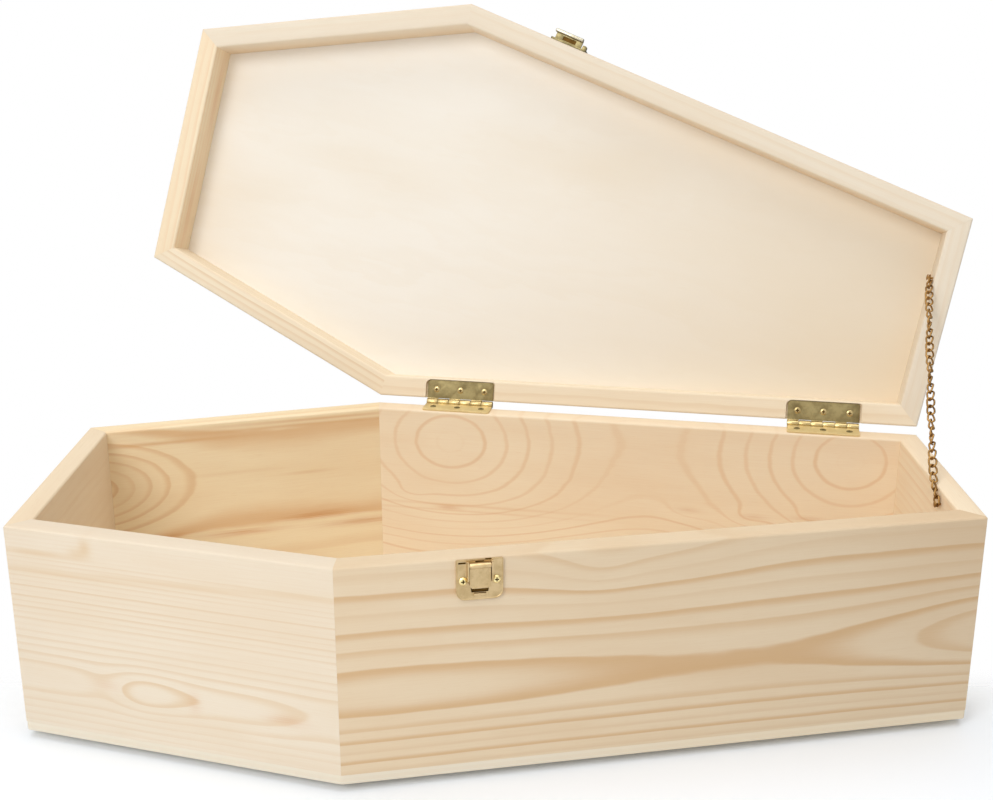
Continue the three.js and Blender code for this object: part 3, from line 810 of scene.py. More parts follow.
# %% Looks of the two front walls
# Each swell, quiet place, band or stain is a row: along, up, half length, half height, amount.
# Each eye is a row: along, up, ring length, ring height. All lengths are in millimetres.
WHOLE = 10000
RIM_QUIET = (0, BOX_HEIGHT + 1, WHOLE, 1.8, 0.75)
front_looks = {
    "head_front": {
        "heart": (27.0, 8.1), "ring": 4.0, "tighten": 0.0024, "tree": 5.0, "wander": 0.14,
        "contrast": 0.5, "fine": 0.35, "early": CREAM, "late": CREAM_LINE,
        "swells": (
            (0, 28, 22, 14, -0.15), (41, 27, 11, 9, 0.68),
            (60, 26.5, 19, 11, -1.05), (140, 25, 24, 10, 0.95),
        ),
        "quiet": ((72, 89, 400, 12, 0.8), (72, 52, 400, 18, 0.4), (72, 6, 400, 14, 0.6), RIM_QUIET),
        "bands_and_shade": (
            (60, 72, 120, 18, 0.1), (25, 75.4, 40, 1.1, 0.3), (80, 77.6, 40, 1.1, 0.3),
            (130, 80, 30, 1.1, 0.3), (14, 83.5, 17, 1.3, 0.4), (33, 85.5, 4, 2.4, 0.3),
            (37, 88.5, 2.6, 3.6, 0.42),
        ),
        "stains": ((81, 26, 3, 5, 0.2), (122, 25, 8, 2.2, 0.28), (41, 28, 6, 2.4, 0.16)),
    },
    "side_front": {
        "heart": (39.0, 20.7), "ring": 5.0, "tighten": -0.0007, "tree": 12.0, "wander": 0.14,
        "contrast": 0.62, "fine": 0.35, "early": BUFF, "late": BUFF_LINE,
        "swells": (
            (20, 39, 75, 16, -0.55), (295, 45, 60, 20, -2.2), (118, 96, 48, 24, 1.3),
            (104, 85, 16, 9, 0.6), (150, -2, 400, 18, 2.5),
        ),
        "quiet": (RIM_QUIET,),
        "bands_and_shade": ((148, 36.5, 42, 3.6, 0.2), (262, 75, 60, 40, 0.2)),
    },
}
print("front walls with a look:", len(front_looks))

# %% Looks of the four other walls, as they are seen from inside
inner_looks = {
    "side_back": {
        "heart": (85.0, 38.5), "ring": 4.4, "tree": 5.0, "wander": 0.2, "contrast": 0.36,
        "fine": 0.7, "early": ROSE, "late": ROSE_LINE,
        "eyes": ((37, 78, 11.3, 9.0), (234, 81, 10.5, 9.0)),
        "swells": (
            (150, 15, 400, 22, 4), (0, 0, WHOLE, WHOLE, 0.3), (16, 50, 9, 5, -0.7),
            (158, 50, 11, 5, -0.7), (186, 49, 9, 5, -0.7), (216, 51, 9, 5, -0.7),
        ),
        "quiet": (RIM_QUIET, (37, 78, 9, 8, 1.4), (234, 81, 9, 8, 1.4)),
        "bands_and_shade": ((50, 43.5, 55, 0.7, 0.3), (40, 40.5, 60, 0.6, 0.25)),
        "stains": (
            (36, 42, 6, 1.2, 0.4), (158, 50, 6, 1.4, 0.25),
            (190, 49, 6, 1.4, 0.25), (216, 50, 8, 1.4, 0.25),
        ),
    },
    "head_back": {
        "heart": (63.0, 57.0), "ring": 9.0, "tree": 31.0, "wander": 0.2, "contrast": 0.5,
        "fine": 0.45, "early": TAN, "late": TAN_LINE,
        "eyes": ((-12, 64, 8.0, 4.0),), "merge": 9.0,
        "quiet": (RIM_QUIET,),
        "bands_and_shade": (
            (25, 85.5, 34, 1.0, 0.5), (100, 88.5, 50, 0.9, 0.5), (105, 91, 45, 0.8, 0.5),
            (96, 63, 12, 0.9, 0.28), (62, 66.5, 22, 1.2, 0.16),
        ),
        "stains": (
            (62, 34, 18, 1.6, 0.55), (100, 39, 18, 2.0, 0.6),
            (126, 33, 22, 1.8, 0.55), (28, 36, 8, 1.4, 0.4),
        ),
    },
    "foot": {
        "heart": (-30.0, 40.0), "ring": 4.0, "tree": 41.0, "contrast": 0.25,
        "early": ROSE, "late": ROSE_LINE,
        "swells": ((50, 40, 30, 25, -1.5),), "quiet": (RIM_QUIET,),
    },
    "head": {
        "heart": (40.0, 16.0), "ring": 4.5, "tree": 53.0, "contrast": 0.12,
        "early": FAWN, "late": BUFF_LINE,
        "swells": ((40, 40, 30, 14, -1.4),), "quiet": (RIM_QUIET,),
    },
}
wall_looks = {**front_looks, **inner_looks}
print("walls with a look:", len(wall_looks))

# %% Six walls
WALL_LOW = BASE_THICKNESS + JOINT_GAP
for i, side in enumerate(SIDES):
    board = saw_board(f"board_wall_{side}", i, WALL_LOW, BOX_HEIGHT, BOX_HEIGHT)
    material = pine(f"pine_wall_{side}", board_place(*figure_ends[side], 0.0), wall_looks[side])
    fit(board, f"wall_{side}", material)
print("walls made:", len(SIDES))

# %% [markdown]
# ## Plywood
# The base and the top of the lid are thin plywood with a pale, quiet face. Its figure is almost
# nothing: faint clouds, a few pale lines and a little more warmth towards the foot. At the edge
# the three layers show. The layers are coloured by depth alone, so they appear only where the
# edge cuts through them.

# %% Plywood finish
PLY_FACE = srgb(249, 243, 232)
PLY_BASE = srgb(232, 222, 203)
PLY_CLOUD = srgb(233, 213, 180)
PLY_CORE = srgb(222, 196, 158)
SHEET_LOOK = {"heart": (40.0, 50.0), "ring": 16.0, "wander": 2.0}
SHEET_CONTRAST = 0.08
SHEET_GRAIN = 0.4
PATCH_GRAIN = (0.005, 0.012, 0.012)
PATCH_FROM = (0.42, 0.72)
PATCH_SHARE = 0.35
WARM_FROM = 0.3 * LENGTH
WARM_SHARE = 0.6
CORE_FROM = (0.17, 0.2)
CORE_SHARE = 0.12
PLY_ROUGHNESS = (0.5, 0.66)
PLY_RELIEF = 0.15
PLY_RELIEF_DEPTH = 0.0001


def plywood(name, place, tree_number, thickness, face):
    material, tree, skin = bare_material(name)
    point = board_point(tree, place)
    parts = put(tree, "ShaderNodeSeparateXYZ", {0: point}).outputs
    look = dict(SHEET_LOOK, tree=tree_number)
    figure = place_group(tree, figure_group, {
        "Point": point, "Rings": count_rings(tree, point, look), "Tree": tree_number,
        "Contrast": SHEET_CONTRAST, "Grain": SHEET_GRAIN, "Early Wood": face,
        "Late Wood": PLY_CLOUD,
    })
    patch = ramp(tree, grain_noise(tree, point, PATCH_GRAIN), *PATCH_FROM, 0.0, PATCH_SHARE)
    colour = mix(tree, patch, figure["Color"], PLY_CLOUD)
    warm = ramp(tree, parts[0], WARM_FROM, LENGTH, 0.0, WARM_SHARE)
    colour = mix(tree, warm, colour, PLY_CLOUD)
    off_middle = calc(tree, "ABSOLUTE", calc(tree, "SUBTRACT", parts[2], thickness / 2))
    core_edge = [thickness * share for share in CORE_FROM]
    core = ramp(tree, off_middle, *core_edge, CORE_SHARE, 0.0)
    wire(tree, mix(tree, core, colour, PLY_CORE), skin["Base Color"])
    fibre = figure["Fibre"]
    wood_surface(tree, skin, fibre, fibre, PLY_ROUGHNESS, PLY_RELIEF, PLY_RELIEF_DEPTH)
    return material


print("plywood ready")

# %% Base panel
SAW_SPARE = 5.0
PANEL_ROUND = 0.4
PANEL_CORNER = 1.3
PANEL_STEPS = 4
SAME_HEIGHT = 1e-6
BASE_TREE = 7.0


def flat_place(low):
    place = Matrix.Identity(4)
    place.translation = Vector((-HALF, -SHOULDER_WIDTH / 2, low)) * MM
    return place


def saw_panel(name, low, high, free):
    def on_free_face(edge):
        return all(abs(vert.co.z - free * MM) < SAME_HEIGHT for vert in edge.verts)

    half_long = HALF + SAW_SPARE
    half_wide = SHOULDER_WIDTH / 2 + SAW_SPARE
    sheet = block(name, (-half_long, -half_wide, low), (half_long, half_wide, high))
    open_edit(sheet)
    for corner, away in zip(corners, side_out):
        saw_off(corner, away)
    pick(sheet, "EDGE", lambda edge: runs_along(edge, 2))
    bpy.ops.mesh.bevel(offset=PANEL_CORNER * MM, segments=PANEL_STEPS, affect="EDGES")
    pick(sheet, "EDGE", on_free_face)
    bpy.ops.mesh.bevel(offset=PANEL_ROUND * MM, segments=PANEL_STEPS, affect="EDGES")
    close_edit()
    return smooth(sheet)


base = saw_panel("panel_base", 0, BASE_THICKNESS, 0)
base_finish = plywood("plywood_base", flat_place(0), BASE_TREE, BASE_THICKNESS, PLY_BASE)
fit(base, "base_panel", base_finish)
print("base size in mm:", [round(side / MM, 1) for side in base.dimensions])

# %% [markdown]
# ## Lid
# The lid is a low frame of six rails under its own panel. It is simplest to build it shut, on
# the plan, and then swing every piece of it about the hinge line to where it stands open. The
# hinge line and the angle come from the frame's joint, so the two can never disagree.

# %% Swing of the lid
lid_joint = next(joint for joint in frame["joints"] if joint["name"] == "lid_hinge")
HINGE_POINT = Vector(lid_joint["pos_m"])
HINGE_WAY = Vector(lid_joint["axis"]).normalized()
OPEN_ANGLE = math.radians(lid_joint["range_deg"][1])
swing = (
    Matrix.Translation(HINGE_POINT)
    @ Matrix.Rotation(-OPEN_ANGLE, 4, HINGE_WAY)
    @ Matrix.Translation(-HINGE_POINT)
)
print("lid opens by:", lid_joint["range_deg"][1])

# %% Looks of the six rails
PALE = srgb(239, 227, 207)
PALE_LINE = srgb(222, 188, 142)
STRAW = srgb(250, 235, 209)
HONEY = srgb(248, 231, 200)
HONEY_LINE = srgb(232, 172, 106)
# This band of line colour runs along the rails next to the lid's panel: painted shade in the crease
# between rail and panel, used on the two upper rails.
CREASE_PAINTED_SHADE = (0, RAIL_HEIGHT, WHOLE, 11, 0.55)
rail_looks = {
    "head_front": {"heart": (-40, 30), "ring": 2.4, "tree": 61.0, "contrast": 0.2,
                   "early": PALE, "late": PALE_LINE, "bands_and_shade": (CREASE_PAINTED_SHADE,)},
    "side_front": {"heart": (-35, 34), "ring": 2.6, "tree": 67.0, "contrast": 0.2,
                   "early": PALE, "late": PALE_LINE, "bands_and_shade": (CREASE_PAINTED_SHADE,)},
    "foot": {"heart": (-30, 26), "ring": 2.4, "tree": 71.0, "contrast": 0.2,
             "early": PALE, "late": PALE_LINE},
    "side_back": {"heart": (60, 32), "ring": 2.2, "tree": 73.0, "contrast": 0.28,
                  "early": STRAW, "late": PALE_LINE},
    "head_back": {"heart": (50, 30), "ring": 1.5, "tree": 79.0, "contrast": 0.5,
                  "early": STRAW, "late": PALE_LINE},
    "head": {"heart": (-20, 22), "ring": 2.6, "tree": 83.0, "contrast": 0.25,
             "early": HONEY, "late": HONEY_LINE,
             "stains": ((24, 12, 22, 3.0, 0.35), (84, 9, 24, 3.0, 0.35))},
}
print("rails with a look:", len(rail_looks))

# %% Rails and the lid's panel
LID_TREE = 19.0
rails = {}
for i, side in enumerate(SIDES):
    rails[side] = saw_board(f"board_rail_{side}", i, LID_RIM, LID_RIM + RAIL_HEIGHT, LID_RIM)
PANEL_LOW = LID_RIM + RAIL_HEIGHT + JOINT_GAP
PANEL_TOP = PANEL_LOW + PANEL_THICKNESS
lid_panel = saw_panel("panel_lid", PANEL_LOW, PANEL_TOP, PANEL_TOP)
settle(lid_panel, swing)
lid_place = swing @ flat_place(PANEL_LOW)
lid_finish = plywood("plywood_lid", lid_place, LID_TREE, PANEL_THICKNESS, PLY_FACE)
fit(lid_panel, "lid_panel", lid_finish)
print("rails made:", len(rails))

# %% [markdown]
# ## Mortises for the hinges
# The lid's rail has a shallow pocket for each hinge leaf, cut by machine: the inner corners keep
# the round of the cutter. A cutter block with those two corners rounded is placed at each hinge
# and taken away from the rail with a Boolean.

# %% Places of the two hinges
HINGE_LENGTH = 34.2
HINGE_FROM_SHOULDER = 41.9
HINGE_FROM_FOOT = 44.0
back_length = (corners[3] - corners[4]).length
hinge_turn = math.atan2(HINGE_WAY.y, HINGE_WAY.x)
hinge_places = {}
for side, distance in (("left", HINGE_FROM_SHOULDER), ("right", back_length - HINGE_FROM_FOOT)):
    centre = HINGE_POINT + HINGE_WAY * distance * MM
    hinge_places[side] = Matrix.Translation(centre) @ Matrix.Rotation(hinge_turn, 4, "Z")
print("hinges along the back edge of mm:", round(back_length, 1))

# %% Mortises
AXIS_OUTSET = 1.9
MORTISE_DEPTH = 1.9
MORTISE_END_GAP = 0.9
MORTISE_REACH = 9.6
MORTISE_LEFT_RADIUS = 3.0
MORTISE_RIGHT_RADIUS = 1.4
MORTISE_STEPS = 6
CUTTER_BELOW = 3.0
CUTTER_OUT = 2.0
EDGE_NEAR = 0.1
AXIS_HEIGHT = BOX_HEIGHT + (LID_GAP + MORTISE_DEPTH) / 2
mortise_half = HINGE_LENGTH / 2 + MORTISE_END_GAP
mortise_far = -(AXIS_OUTSET + MORTISE_REACH)
mortise_floor = LID_RIM + MORTISE_DEPTH - AXIS_HEIGHT


def upright_at(edge, x, y):
    return runs_along(edge, 2) and (middle(edge) - Vector((x, y, 0))).xy.length < EDGE_NEAR


for place in hinge_places.values():
    cutter = block("mortise_cutter", (-mortise_half, mortise_far, mortise_floor - CUTTER_BELOW),
                   (mortise_half, CUTTER_OUT, mortise_floor))
    for x, radius in ((-mortise_half, MORTISE_LEFT_RADIUS), (mortise_half, MORTISE_RIGHT_RADIUS)):
        round_edges(cutter, lambda edge: upright_at(edge, x, mortise_far), radius, MORTISE_STEPS)
    settle(cutter, place)
    combine(rails["side_back"], cutter, "DIFFERENCE")
print("mortises cut:", len(hinge_places))

# %% Swinging the rails open
for side, board in rails.items():
    settle(board, swing)
    place = swing @ board_place(*figure_ends[side], LID_RIM)
    fit(board, f"lid_rail_{side}", pine(f"pine_rail_{side}", place, rail_looks[side]))
print("lid top in mm:", round(max(vert.co.z for vert in lid_panel.data.vertices) / MM, 1))

# %% [markdown]
# ## Brass and bronze
# Stock box fittings are stamped from thin brass sheet and tumbled, so they are shiny with soft
# edges, and a thin lacquer lets them yellow unevenly. The same worn-metal group serves all of
# them: patches of tarnish, a fine mottle, and very slight scratches. The chain has a darker
# bronze finish with more tarnish.

# %% Group: worn metal
TARNISH_GRAIN = (180.0, 180.0, 180.0)
TARNISH_FROM = (0.38, 0.68)
MOTTLE_GRAIN = (900.0, 900.0, 900.0)
MOTTLE_FROM = (0.5, 0.75)
MOTTLE_SHARE = 0.25
SCRATCH_GRAIN = (350.0, 350.0, 4200.0)
GLOSS_PATCH = 0.6
GLOSS_SCRATCH = 0.4
GLOSS_FROM = (0.3, 0.7)
metal_group, start, end = new_group(
    "worn metal",
    {"Point": (0.0, 0.0, 0.0), "Metal": srgb(225, 195, 120), "Tarnish": srgb(150, 118, 62),
     "Amount": 0.4, "Gloss Low": 0.2, "Gloss High": 0.4},
    {"Color": "NodeSocketColor", "Roughness": "NodeSocketFloat", "Relief": "NodeSocketFloat"},
)
patch = grain_noise(metal_group, start["Point"], TARNISH_GRAIN, detail=4.0, roughness=0.6)
mottle = grain_noise(metal_group, start["Point"], MOTTLE_GRAIN, detail=3.0)
scratch = grain_noise(metal_group, start["Point"], SCRATCH_GRAIN)
dull = calc(metal_group, "MULTIPLY", ramp(metal_group, patch, *TARNISH_FROM), start["Amount"])
colour = mix(metal_group, dull, start["Metal"], start["Tarnish"])
speckle = ramp(metal_group, mottle, *MOTTLE_FROM, 0.0, MOTTLE_SHARE)
colour = mix(metal_group, speckle, colour, start["Tarnish"])
wire(metal_group, colour, end["Color"])
rubbed = calc(metal_group, "MULTIPLY", scratch, GLOSS_SCRATCH)
rubbed = calc(metal_group, "MULTIPLY_ADD", patch, GLOSS_PATCH, rubbed)
gloss = put(metal_group, "ShaderNodeMapRange", {
    "Value": rubbed, "From Min": GLOSS_FROM[0], "From Max": GLOSS_FROM[1],
    "To Min": start["Gloss Low"], "To Max": start["Gloss High"],
})
wire(metal_group, gloss.outputs[0], end["Roughness"])
wire(metal_group, calc(metal_group, "ADD", mottle, scratch), end["Relief"])
print("group:", metal_group.name)

# %% Metal finishes
METAL_RELIEF_DEPTH = 0.00004


def worn_metal(name, metal, tarnish, amount, gloss, relief, metallic=1.0):
    material, tree, skin = bare_material(name)
    point = tree.nodes.new("ShaderNodeTexCoord").outputs["Object"]
    worn = place_group(tree, metal_group, {
        "Point": point, "Metal": srgb(*metal), "Tarnish": srgb(*tarnish), "Amount": amount,
        "Gloss Low": gloss[0], "Gloss High": gloss[1],
    })
    wire(tree, worn["Color"], skin["Base Color"])
    wire(tree, worn["Roughness"], skin["Roughness"])
    skin["Metallic"].default_value = metallic
    values = {"Height": worn["Relief"], "Strength": relief, "Distance": METAL_RELIEF_DEPTH}
    wire(tree, put(tree, "ShaderNodeBump", values).outputs[0], skin["Normal"])
    return material


bright_brass = worn_metal("bright_brass", (250, 232, 172), (218, 186, 112), 0.3, (0.16, 0.34), 0.12)
# A pale, part-diffuse copy of the hinge brass for the box leaf: painted light.
seat_brass = worn_metal("seat_brass", (238, 216, 160), (216, 184, 118), 0.3, (0.3, 0.45), 0.12, 0.4)
barrel_brass = worn_metal("barrel_brass", (190, 169, 121), (134, 113, 67), 0.4, (0.2, 0.36), 0.15)
# A dark olive copy of the hinge brass for the lid leaf and the box leaf's screws: painted shade.
leaf_brass = worn_metal("leaf_brass", (144, 130, 89), (100, 86, 52), 0.5, (0.45, 0.62), 0.25, 0.75)
# A pale, near-white copy of the brass for the keeper's bar: painted highlight.
bar_brass = worn_metal("bar_brass", (186, 179, 158), (132, 120, 88), 0.3, (0.18, 0.34), 0.12)
# A dark olive copy of the brass for the keeper's plate, web and ear: painted shade.
keeper_brass = worn_metal("keeper_brass", (122, 111, 78), (74, 64, 38), 0.5, (0.3, 0.5), 0.25)
catch_brass = worn_metal("catch_brass", (208, 182, 138), (162, 135, 86), 0.4, (0.3, 0.5), 0.4)
# The darkest brass, put inside slots, notches, pockets and screw crosses: painted shade.
shaded_brass = worn_metal("shaded_brass", (104, 76, 34), (66, 46, 18), 0.5, (0.5, 0.7), 0.4)
chain_bronze = worn_metal("chain_bronze", (168, 130, 78), (96, 68, 36), 0.6, (0.3, 0.5), 0.4)
metals = [item.name for item in bpy.data.materials if item.name.endswith(("brass", "bronze"))]
print("metals:", metals)

# %% [markdown]
# ## Hinges
# A small butt hinge is two brass leaves rolled round one pin. Three knuckles belong to each
# leaf, in turn. The leaf starts as a block, its free corners are rounded, tabs are extruded
# towards the pin where its own knuckles are, and turned barrels are joined on. Countersinks
# are taken out with cones. One hinge is modelled and copied to the second place.

# %% Hinge sizes
KNUCKLES = 6
KNUCKLE_GAP = 0.16
BARREL_RADIUS = 1.75
BARREL_CLEARANCE = 0.16
PIN_RADIUS = 0.8
PIN_BORE = 1.0
LEAF_THICKNESS = 0.8
LEAF_REACH = 9.3
LEAF_CORNER = 1.2
LEAF_SEAT_GAP = 0.05
SCREW_SPACING = 12.4
SCREW_FROM_BACK = 4.5
leaf_seat = AXIS_HEIGHT - BOX_HEIGHT - LEAF_SEAT_GAP
leaf_face = leaf_seat - LEAF_THICKNESS
leaf_far = -(AXIS_OUTSET + LEAF_REACH)
screw_across = -(AXIS_OUTSET + SCREW_FROM_BACK)
knuckle_size = HINGE_LENGTH / KNUCKLES


def knuckle_span(k):
    low = -HINGE_LENGTH / 2 + k * knuckle_size
    return low + KNUCKLE_GAP / 2, low + knuckle_size - KNUCKLE_GAP / 2


print("one knuckle is", round(knuckle_size, 2), "mm")

# %% Tabs of a leaf
TAB_SPARE = 0.2
ALONG_X = (1, 0, 0)
FACING = 0.9


def pull(*way):
    step = tuple(side * MM for side in way)
    bpy.ops.mesh.extrude_region_move(TRANSFORM_OT_translate={"value": step})


def cut_tabs(leaf, own, half, room):
    def at_own_knuckle(face):
        x = face.calc_center_median().x / MM
        within = any(low - TAB_SPARE < x < high + TAB_SPARE for low, high in own)
        return face.normal.y > FACING and within

    open_edit(leaf)
    for x in (side for span in own for side in span):
        if abs(x) < half - TAB_SPARE:
            bpy.ops.mesh.select_all(action="SELECT")
            bpy.ops.mesh.bisect(plane_co=(x * MM, 0, 0), plane_no=ALONG_X, threshold=SAW_MERGE)
    pick(leaf, "FACE", at_own_knuckle)
    pull(0, room, 0)
    close_edit()


print("tabs are drawn out over", HINGE_LENGTH, "mm")

# %% One leaf, drawn lying below the pin
LEAF_STEPS = 5
BARREL_SIDES = 48
BARREL_ROUND = 0.14
BORE_SIDES = 32
BORE_SPARE = 1.0


def end_rim(edge):
    return abs(edge.verts[0].co.x - edge.verts[1].co.x) < SAW_MERGE


def rolled_leaf(name, first):
    def free_corner(edge):
        return runs_along(edge, 2) and middle(edge).y < leaf_far + EDGE_NEAR

    half = HINGE_LENGTH / 2
    room = BARREL_RADIUS + BARREL_CLEARANCE
    leaf = block(name, (-half, leaf_far, -leaf_seat), (half, -room, -leaf_face))
    round_edges(leaf, free_corner, LEAF_CORNER, LEAF_STEPS)
    own = [knuckle_span(k) for k in range(first, KNUCKLES, 2)]
    cut_tabs(leaf, own, half, room)
    barrels = []
    for low, high in own:
        barrel = rod("barrel", BARREL_RADIUS, low, high, BARREL_SIDES)
        round_edges(barrel, end_rim, BARREL_ROUND, 2)
        barrels.append(barrel)
    combine(leaf, join(barrels), "UNION")
    bore = rod("bore", PIN_BORE, -half - BORE_SPARE, half + BORE_SPARE, BORE_SIDES)
    return combine(leaf, bore, "DIFFERENCE")


box_leaf = rolled_leaf("hinge_leaf_box", 1)
print("box leaf faces:", len(box_leaf.data.polygons))

# %% Countersinks and finish of a leaf
COUNTERSINK_TOP = 1.5
COUNTERSINK_LOW = 0.7
COUNTERSINK_SPARE = 0.4
SCREW_ROW = (-1, 0, 1)
SHEET_SOFT = 0.1
STAMPED_SMOOTH = 32
SKIN_NEAR = 0.02


def countersink(leaf):
    cones = []
    for k in SCREW_ROW:
        spot = Vector((k * SCREW_SPACING, screw_across, -leaf_seat + LEAF_THICKNESS / 2))
        bpy.ops.object.select_all(action="DESELECT")
        bpy.ops.mesh.primitive_cone_add(
            vertices=32, radius1=COUNTERSINK_LOW * MM, radius2=COUNTERSINK_TOP * MM,
            depth=(LEAF_THICKNESS + COUNTERSINK_SPARE) * MM, location=spot * MM,
        )
        cones.append(settle(bpy.context.object))
    combine(leaf, join(cones), "DIFFERENCE")
    soften(leaf, SHEET_SOFT)
    return smooth(leaf, STAMPED_SMOOTH)


def finish_leaf(leaf, flat_lit_or_shaded):
    # The flat of the leaf takes the copy it is given: the pale one on the box leaf is painted
    # light, the dark one on the lid leaf painted shade.
    leaf.data.materials.clear()
    leaf.data.materials.append(flat_lit_or_shaded)
    leaf.data.materials.append(barrel_brass)
    for face in leaf.data.polygons:
        on_barrel = face.center.yz.length < (BARREL_RADIUS + SKIN_NEAR) * MM
        face.material_index = 1 if on_barrel else 0
    return leaf


finish_leaf(countersink(box_leaf), seat_brass)
print("box leaf faces with countersinks:", len(box_leaf.data.polygons))

# %% The lid's leaf is the same leaf turned over, so its knuckles fall between the other three
# Its flat is the dark copy of the brass: painted shade.
lid_leaf = finish_leaf(countersink(rolled_leaf("hinge_leaf_lid", 1)), leaf_brass)
settle(lid_leaf, Matrix.Rotation(math.pi, 4, "Y"))
print("lid leaf size in mm:", [round(side / MM, 1) for side in lid_leaf.dimensions])

# %% [markdown]
# ## Screws, nails and pins
# A small screw head is a low dome with a cross pressed into it. The head is a turned disc whose
# top is extruded and narrowed ring by ring into a dome, and the shank is its underside pulled
# down to a point. The cross is cut with two thin bars, and its inside is coloured with the
# darkest brass as painted shade.

# %% A domed fastener
DOME_STEPS = (30, 55, 75)
DISC_SHARE = 0.2
TIP_SHARE = 0.1
TURNED_SMOOTH = 35


def narrow(share, height):
    bpy.ops.transform.resize(value=(share, share, 1), center_override=(0, 0, height * MM))


def domed_fastener(name, head_radius, head_height, neck, shank_radius, length, tip):
    height = DISC_SHARE * head_height
    radius = head_radius
    bpy.ops.object.select_all(action="DESELECT")
    bpy.ops.mesh.primitive_cylinder_add(
        vertices=32, radius=radius * MM, depth=height * MM, location=(0, 0, height / 2 * MM),
    )
    piece = bpy.context.object
    piece.name = name
    settle(piece)
    open_edit(piece)
    pick(piece, "FACE", lambda face: face.normal.z > FACING)
    for angle in DOME_STEPS:
        lift = DISC_SHARE + (1 - DISC_SHARE) * math.sin(math.radians(angle))
        new_height = lift * head_height
        new_radius = head_radius * math.cos(math.radians(angle))
        pull(0, 0, new_height - height)
        narrow(new_radius / radius, new_height)
        height = new_height
        radius = new_radius
    pick(piece, "FACE", lambda face: face.normal.z < -FACING)
    pull(0, 0, -neck)
    narrow(shank_radius / head_radius, 0)
    pull(0, 0, tip + neck - length)
    pull(0, 0, -tip)
    narrow(TIP_SHARE, 0)
    close_edit()
    return smooth(piece, TURNED_SMOOTH)


hinge_screw = domed_fastener(
    "hinge_screw", head_radius=1.55, head_height=0.3, neck=0.7,
    shank_radius=0.75, length=6.0, tip=1.4,
)
plate_screw = domed_fastener(
    "plate_screw", head_radius=1.65, head_height=0.75, neck=0.05,
    shank_radius=0.75, length=6.0, tip=1.4,
)
print("screw faces:", len(hinge_screw.data.polygons), len(plate_screw.data.polygons))

# %% Cross recesses
RECESS_SPARE = 1.05
UPRIGHT = 0.05
FLOOR_NEAR = 0.05


def cross_recess(piece, head_finish, reach, width, floor, top):
    for x, y in ((reach, width / 2), (width / 2, reach)):
        combine(piece, block("bar", (-x, -y, floor), (x, y, top)), "DIFFERENCE")
    smooth(piece, TURNED_SMOOTH)
    # The faces inside the cross take the darkest brass: painted shade in the recess.
    piece.data.materials.append(head_finish)
    piece.data.materials.append(shaded_brass)
    for face in piece.data.polygons:
        centre = face.center / MM
        inside = centre.xy.length < reach * RECESS_SPARE and centre.z > floor - FLOOR_NEAR
        if inside and (centre.z < floor + SKIN_NEAR or abs(face.normal.z) < UPRIGHT):
            face.material_index = 1
    return piece


cross_recess(hinge_screw, barrel_brass, reach=0.8, width=0.55, floor=-0.25, top=1.0)
cross_recess(plate_screw, bright_brass, reach=0.85, width=0.5, floor=0.1, top=1.2)
print("screw faces with a cross:", len(hinge_screw.data.polygons), len(plate_screw.data.polygons))

# %% Placing copies of the hinge's pieces
PIN_ROUND = 0.3


def fit_copy(model, name, place, node, finish=None):
    piece = copy_piece(model, name)
    settle(piece, place)
    if finish is not None:
        piece.data.materials.clear()
        piece.data.materials.append(finish)
    return stand_for(piece, node)


def put_away(*models):
    for model in models:
        bpy.data.objects.remove(model, do_unlink=True)


hinge_pin = rod("hinge_pin", PIN_RADIUS, -HINGE_LENGTH / 2, HINGE_LENGTH / 2, 24)
round_edges(hinge_pin, end_rim, PIN_ROUND, 3)
smooth(hinge_pin)
turn_over = Matrix.Rotation(math.pi, 4, "X")
for side, place in hinge_places.items():
    hinge = f"hinge_{side}"
    fit_copy(box_leaf, f"{hinge}_leaf_on_box", place, f"{hinge}_box_leaf")
    fit_copy(lid_leaf, f"{hinge}_leaf_on_lid", swing @ place, f"{hinge}_lid_leaf")
    fit_copy(hinge_pin, f"{hinge}_rod", place, f"{hinge}_pin", bright_brass)
    for number, k in enumerate(SCREW_ROW, 1):
        spot = Vector((k * SCREW_SPACING, screw_across, -leaf_face)) * MM
        in_box = place @ Matrix.Translation(spot)
        spot.z = leaf_face * MM
        in_lid = swing @ place @ Matrix.Translation(spot) @ turn_over
        # The box leaf's screws are made wholly in the dark leaf brass: painted shade that reads as
        # shadow in their countersinks.
        fit_copy(hinge_screw, f"{hinge}_screw_in_box_{number}", in_box,
                 f"{hinge}_box_screw_{number}", leaf_brass)
        fit_copy(hinge_screw, f"{hinge}_screw_in_lid_{number}", in_lid,
                 f"{hinge}_lid_screw_{number}")
put_away(box_leaf, lid_leaf, hinge_pin, hinge_screw)
print("hinges placed:", len(hinge_places))

# %% [markdown]
# ## Catch
# The catch is a pressed plate with a small lever that turns on a pin between two cheeks. The
# plate is a block with rounded corners, its front is inset to leave a raised border, and cheeks,
# ledge and slot are joined on and cut out. The inside of the slot and of three small notches
# along the top edge is coloured with the darkest brass as painted shade.

